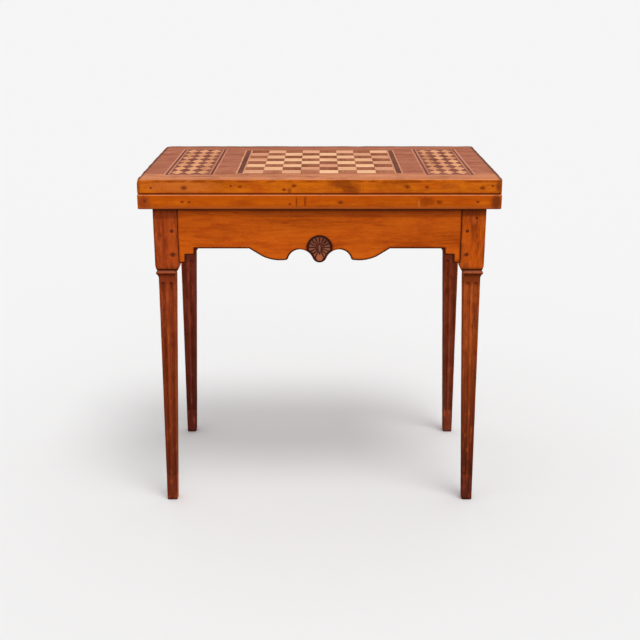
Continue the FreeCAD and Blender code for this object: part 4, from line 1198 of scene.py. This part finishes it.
def worn_leg(node):
    """Leg with rounded, unevenly worn arrises and faces that are not quite flat."""
    low, high = corners(node)
    sign_x = 1 if low.x > 0 else -1
    sign_y = 1 if low.y > 0 else -1
    outer = Vector((high.x if sign_x > 0 else low.x, high.y if sign_y > 0 else low.y, 0))
    block_bottom = BLOCK_BOTTOM[node]
    shaft_top = block_bottom - GROOVE_HEIGHT - TORUS_HEIGHT - CAVETTO_HEIGHT
    rings = []
    for z, inset, width in leg_sections(block_bottom, high.z):
        half = width / 2
        middle = outer - Vector((sign_x, sign_y, 0)) * (inset + half)
        seed = Vector(scale * part for scale, part in zip(ARRIS_SCALES, (outer.x, outer.y, z)))
        wear = max(noise.noise(seed) + ARRIS_START, 0.0)
        rounding = ARRIS_RADIUS + ARRIS_WEAR * wear + FOOT_WEAR * near(FOOT_WEAR_REACH, z)
        ring = []
        for x, y, hollow in leg_ring(half, rounding, *flute_at(z, shaft_top)):
            place = middle + Vector((x, y, z))
            rub = LEG_RUB * (0.5 + 0.5 * noise.noise(place * LEG_RUB_SCALE))
            shrink = 1 - rub / half
            ring.append((middle + Vector((x * shrink, y * shrink, z)), hollow))
        rings.append(ring)
    return piece(node + "_worn", loft(rings), node)


# Inlay: every tile rounded a little at its edges, with a tone of its own

TILE_EASE = 0.25 * MM
BOARD_COUNT = 8
DULL_SQUARES = {(3, 1), (7, 1), (4, 2), (7, 3), (0, 4), (7, 5), (0, 6), (6, 6)}
TAN_SQUARES = {(0, 0), (2, 0), (1, 7), (3, 7), (5, 7), (7, 7)}
FRONT_DARK_TONES = (0.9, 0.0)
DARK_TONES = (0.0, 0.55)
LIGHT_TONES = (0.0, 0.3)
TAN_TONES = (0.5, 0.3)
DULL_TONES = (0.75, 0.25)


def square_tones(node, cell):
    """Lowest tone of a kind of square, and how far chance takes it from there."""
    if node == "chess_dark_squares":
        return FRONT_DARK_TONES if cell[Y] == 0 else DARK_TONES
    if cell in DULL_SQUARES:
        return DULL_TONES
    return TAN_TONES if cell in TAN_SQUARES else LIGHT_TONES


def tile_tone(node, middle):
    """Tone of a tile from 0 to 1 by a chance fixed by its place, and for a square by its kind."""
    share = 0.5 + 0.5 * chance(middle)
    if not node.endswith("_squares"):
        return share
    low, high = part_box(node)
    square = (high[X] - low[X]) / BOARD_COUNT
    cell = tuple(math.floor((middle[axis] - low[axis]) / square) for axis in (X, Y))
    lowest, reach = square_tones(node, cell)
    return lowest + reach * share


def laid_tiles(node):
    """Inlay with rounded tile edges and a tone stored on the faces of each tile."""
    shape = joined_mesh(node)
    for group in islands(shape):
        bmesh.ops.split(shape, geom=group)
    merge_flat(shape)
    bmesh.ops.bevel(shape, geom=outer_edges(shape), offset=TILE_EASE, offset_type="OFFSET", segments=2,
                    profile=0.5, affect="EDGES", clamp_overlap=True)
    tone = shape.faces.layers.float.new("tone")
    for group in islands(shape):
        middle = sum((face.calc_center_median() for face in group), Vector()) / len(group)
        for face in group:
            face[tone] = tile_tone(node, middle)
    return piece(node + "_laid", shape, node)


# Carved rosette: a relief inside the outline of its node, worked out from its petals, bar and bud

RINGS = 56
SPOKES = 288
PETALS = 16
ROSETTE_BASE = 3 * MM
PETAL_HEIGHT = 3.0 * MM
PETAL_SHARES = (0.88, 0.12)
PETAL_SEED = Vector((3.7, 1.3, 0.4))
PETAL_INNER_SHARES = (0.24, 0.44)
PETAL_OUTER_SHARES = (0.78, 0.92)
PETAL_TIP_SHARE = 0.06
PETAL_ROUNDNESS = 0.75
BAR_HEIGHT = 4.2 * MM
BAR_WIDTH = 2.0 * MM
BAR_FLARE = 0.8 * MM
BAR_REACH = 9 * MM
BAR_DROP = 2.5 * MM
BAR_END_SHARES = (0.72, 1.0)
BUD_HEIGHT = 4.8 * MM
BUD_RADIUS = 8.4 * MM
BUD_DROP = 22.5 * MM
BUD_BEADS = 6
BEAD_SHARES = (0.86, 0.14)
BEAD_REACH_SHARES = (0.25, 0.7)
TOOL_MARK = 0.12 * MM
TOOL_SCALE = 400
RIM_SHARES = (0.9, 1.0)


def petal_relief(share, turn):
    """Height of the ring of petals at a share of the radius and a turn."""
    cell = turn * PETALS / (2 * math.pi)
    petal = math.floor(cell)
    across = math.cos(math.pi * (cell - petal - 0.5))
    base, swing = PETAL_SHARES
    vary = base + swing * noise.cell(Vector((petal * PETAL_SEED.x, PETAL_SEED.y, PETAL_SEED.z)))
    inner = smooth(*PETAL_INNER_SHARES, share)
    outer = 1 - smooth(*PETAL_OUTER_SHARES, share + PETAL_TIP_SHARE * (1 - across))
    return PETAL_HEIGHT * vary * inner * outer * across ** PETAL_ROUNDNESS


def bar_relief(x, z):
    """Height of the upright bar, wider at its foot."""
    z = z + BAR_DROP
    width = BAR_WIDTH + BAR_FLARE * smooth(0, -BAR_REACH, z)
    ends = 1 - smooth(*BAR_END_SHARES, abs(z) / BAR_REACH)
    return BAR_HEIGHT * ends * math.exp(-(x / width) ** 2)


def bud_relief(x, z):
    """Height of the beaded bud under the bar."""
    z = z + BUD_DROP
    radius = math.hypot(x, z) / BUD_RADIUS
    if radius >= 1:
        return 0.0
    base, swing = BEAD_SHARES
    beads = base + swing * math.cos(BUD_BEADS * math.atan2(z, x)) * smooth(*BEAD_REACH_SHARES, radius)
    return BUD_HEIGHT * beads * math.sqrt(1 - radius * radius)


def rim_points(node, middle):
    """Points of a node's rear outline about a middle, as turn, x and z in order of turn."""
    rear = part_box(node)[1][Y]
    points = {}
    for vertex in nodes[node].data.vertices:
        if abs(vertex.co.y - rear) < JOIN_DISTANCE:
            away = vertex.co - middle
            turn = math.atan2(away.z, away.x) % (2 * math.pi)
            points[round(turn, 5)] = (away.x, away.z)
    return [(turn, *points[turn]) for turn in sorted(points)]


def rim_reach(points, turn):
    """Distance from the middle to the outline in one direction."""
    after = bisect.bisect([point[0] for point in points], turn) % len(points)
    _, x0, z0 = points[after - 1]
    _, x1, z1 = points[after]
    return (x0 * z1 - z0 * x1) / (math.cos(turn) * (z1 - z0) - math.sin(turn) * (x1 - x0))


def carved_rosette():
    """Closed relief that fills the sunk bed of the front apron."""
    low, high = corners("carved_rosette")
    half = (high.x - low.x) / 2
    middle = Vector(((low.x + high.x) / 2, high.y - ROSETTE_BASE, high.z - half))
    rim = rim_points("carved_rosette", middle)
    shape = bmesh.new()

    def point(share, turn, level=None):
        reach = share * rim_reach(rim, turn)
        x = reach * math.cos(turn)
        z = reach * math.sin(turn)
        relief = max(petal_relief(share, turn), bar_relief(x, z), bud_relief(x, z))
        relief += TOOL_MARK * noise.noise(Vector((x, 0, z)) * TOOL_SCALE) * (1 - smooth(*RIM_SHARES, share))
        y = middle.y - relief if level is None else level
        return shape.verts.new((middle.x + x, y, middle.z + z))

    turns = [2 * math.pi * index / SPOKES for index in range(SPOKES)]
    crown = point(0, 0)
    loops = [[point(ring / RINGS, turn) for turn in turns] for ring in range(1, RINGS + 1)]
    loops.append([point(1, turn, high.y) for turn in turns])
    back = point(0, 0, high.y)
    for index in range(SPOKES):
        after = (index + 1) % SPOKES
        shape.faces.new((crown, loops[0][index], loops[0][after]))
        for inner, outer in zip(loops, loops[1:]):
            shape.faces.new((inner[index], outer[index], outer[after], inner[after]))
        shape.faces.new((loops[-1][after], loops[-1][index], back))
    bmesh.ops.recalc_face_normals(shape, faces=shape.faces)
    return piece("carved_rosette_relief", shape, "carved_rosette")


# Baize glued into the meeting faces of the leaves

BAIZE_CELL = 8 * MM
BAIZE_WAVE = 0.12 * MM
BAIZE_SCALE = 40


def baize_sheet(node):
    """Thin cloth with a slightly uneven surface, laid in its sunk bed."""
    low, high = corners(node)
    size = high - low
    shape = joined_mesh(node)
    merge_flat(shape)
    cut_grid(shape, low, high, BAIZE_CELL)
    for vertex in shape.verts:
        x, y, level = vertex.co
        wave = BAIZE_WAVE * (0.5 + 0.5 * noise.noise(Vector((x * BAIZE_SCALE, y * BAIZE_SCALE, level))))
        vertex.co.z += wave if level < low.z + size.z / 2 else -wave
    sheet = piece(node + "_baize", shape, node)


upper = worn_leaf("upper_leaf", True)
lower = worn_leaf("lower_leaf", False)
for node in LEG_LOOKS:
    worn_leg(node)
eased("front_apron", FRONT_ROUNDING, weight=clear_of_rosette)
for node in ("left_apron", "right_apron"):
    eased(node, SIDE_ROUNDING)
for node in ("fixed_knuckle_rail", "fly_rail", "inner_back_rail", "glue_blocks"):
    eased(node, RAIL_ROUNDING, 2)
for node in nodes:
    if node.endswith(("_squares", "_bands", "_stringing", "_lozenges")):
        laid_tiles(node)
carved_rosette()
baize_sheet("lower_playing_cloth")
baize_sheet("upper_playing_cloth")


# Studio

def studio():
    """Pale floor, soft lamps from above and from the front, pale surroundings."""
    bpy.ops.mesh.primitive_plane_add(size=2 * FLOOR_HALF)
    floor = bpy.context.active_object
    floor.name = "floor"
    surface = Finish("floor", Base_Color=FLOOR_TONE, Roughness=0.9, Specular_IOR_Level=0.0)
    floor.data.materials.append(surface.made)

    for name, values in LAMPS.items():
        lamp = bpy.data.lights.new(name, "SUN")
        lamp.energy = values["strength"]
        lamp.angle = math.radians(values["angle"])
        holder = bpy.data.objects.new(name, lamp)
        holder.rotation_mode = "QUATERNION"
        holder.rotation_quaternion = Vector(values["towards"]).to_track_quat("Z", "Y")
        bpy.context.scene.collection.objects.link(holder)

    surroundings = Finish("surroundings", bpy.data.worlds, "Background", Color=WHITE)
    rays = surroundings.add("LightPath").outputs
    seen = rays["Is Camera Ray"]
    for name in ("Is Glossy Ray", "Is Transmission Ray"):
        seen = surroundings.maths("MAXIMUM", seen, rays[name])
    surroundings.set(Strength=surroundings.span(seen, 0.0, 1.0, FILL_STRENGTH, BACKDROP_STRENGTH))
    bpy.context.scene.world = surroundings.made


def photograph_camera():
    """Camera where the photograph was taken from."""
    data = bpy.data.cameras.new("camera")
    data.lens = CAMERA_LENS
    data.sensor_width = SENSOR_WIDTH
    data.clip_end = 4 * FLOOR_HALF
    camera = bpy.data.objects.new("camera", data)
    camera.location = CAMERA_PLACE
    camera.rotation_euler = (CAMERA_TILT, 0, 0)
    bpy.context.scene.collection.objects.link(camera)
    bpy.context.scene.camera = camera


studio()
photograph_camera()
bpy.context.scene.view_settings.view_transform = "Standard"
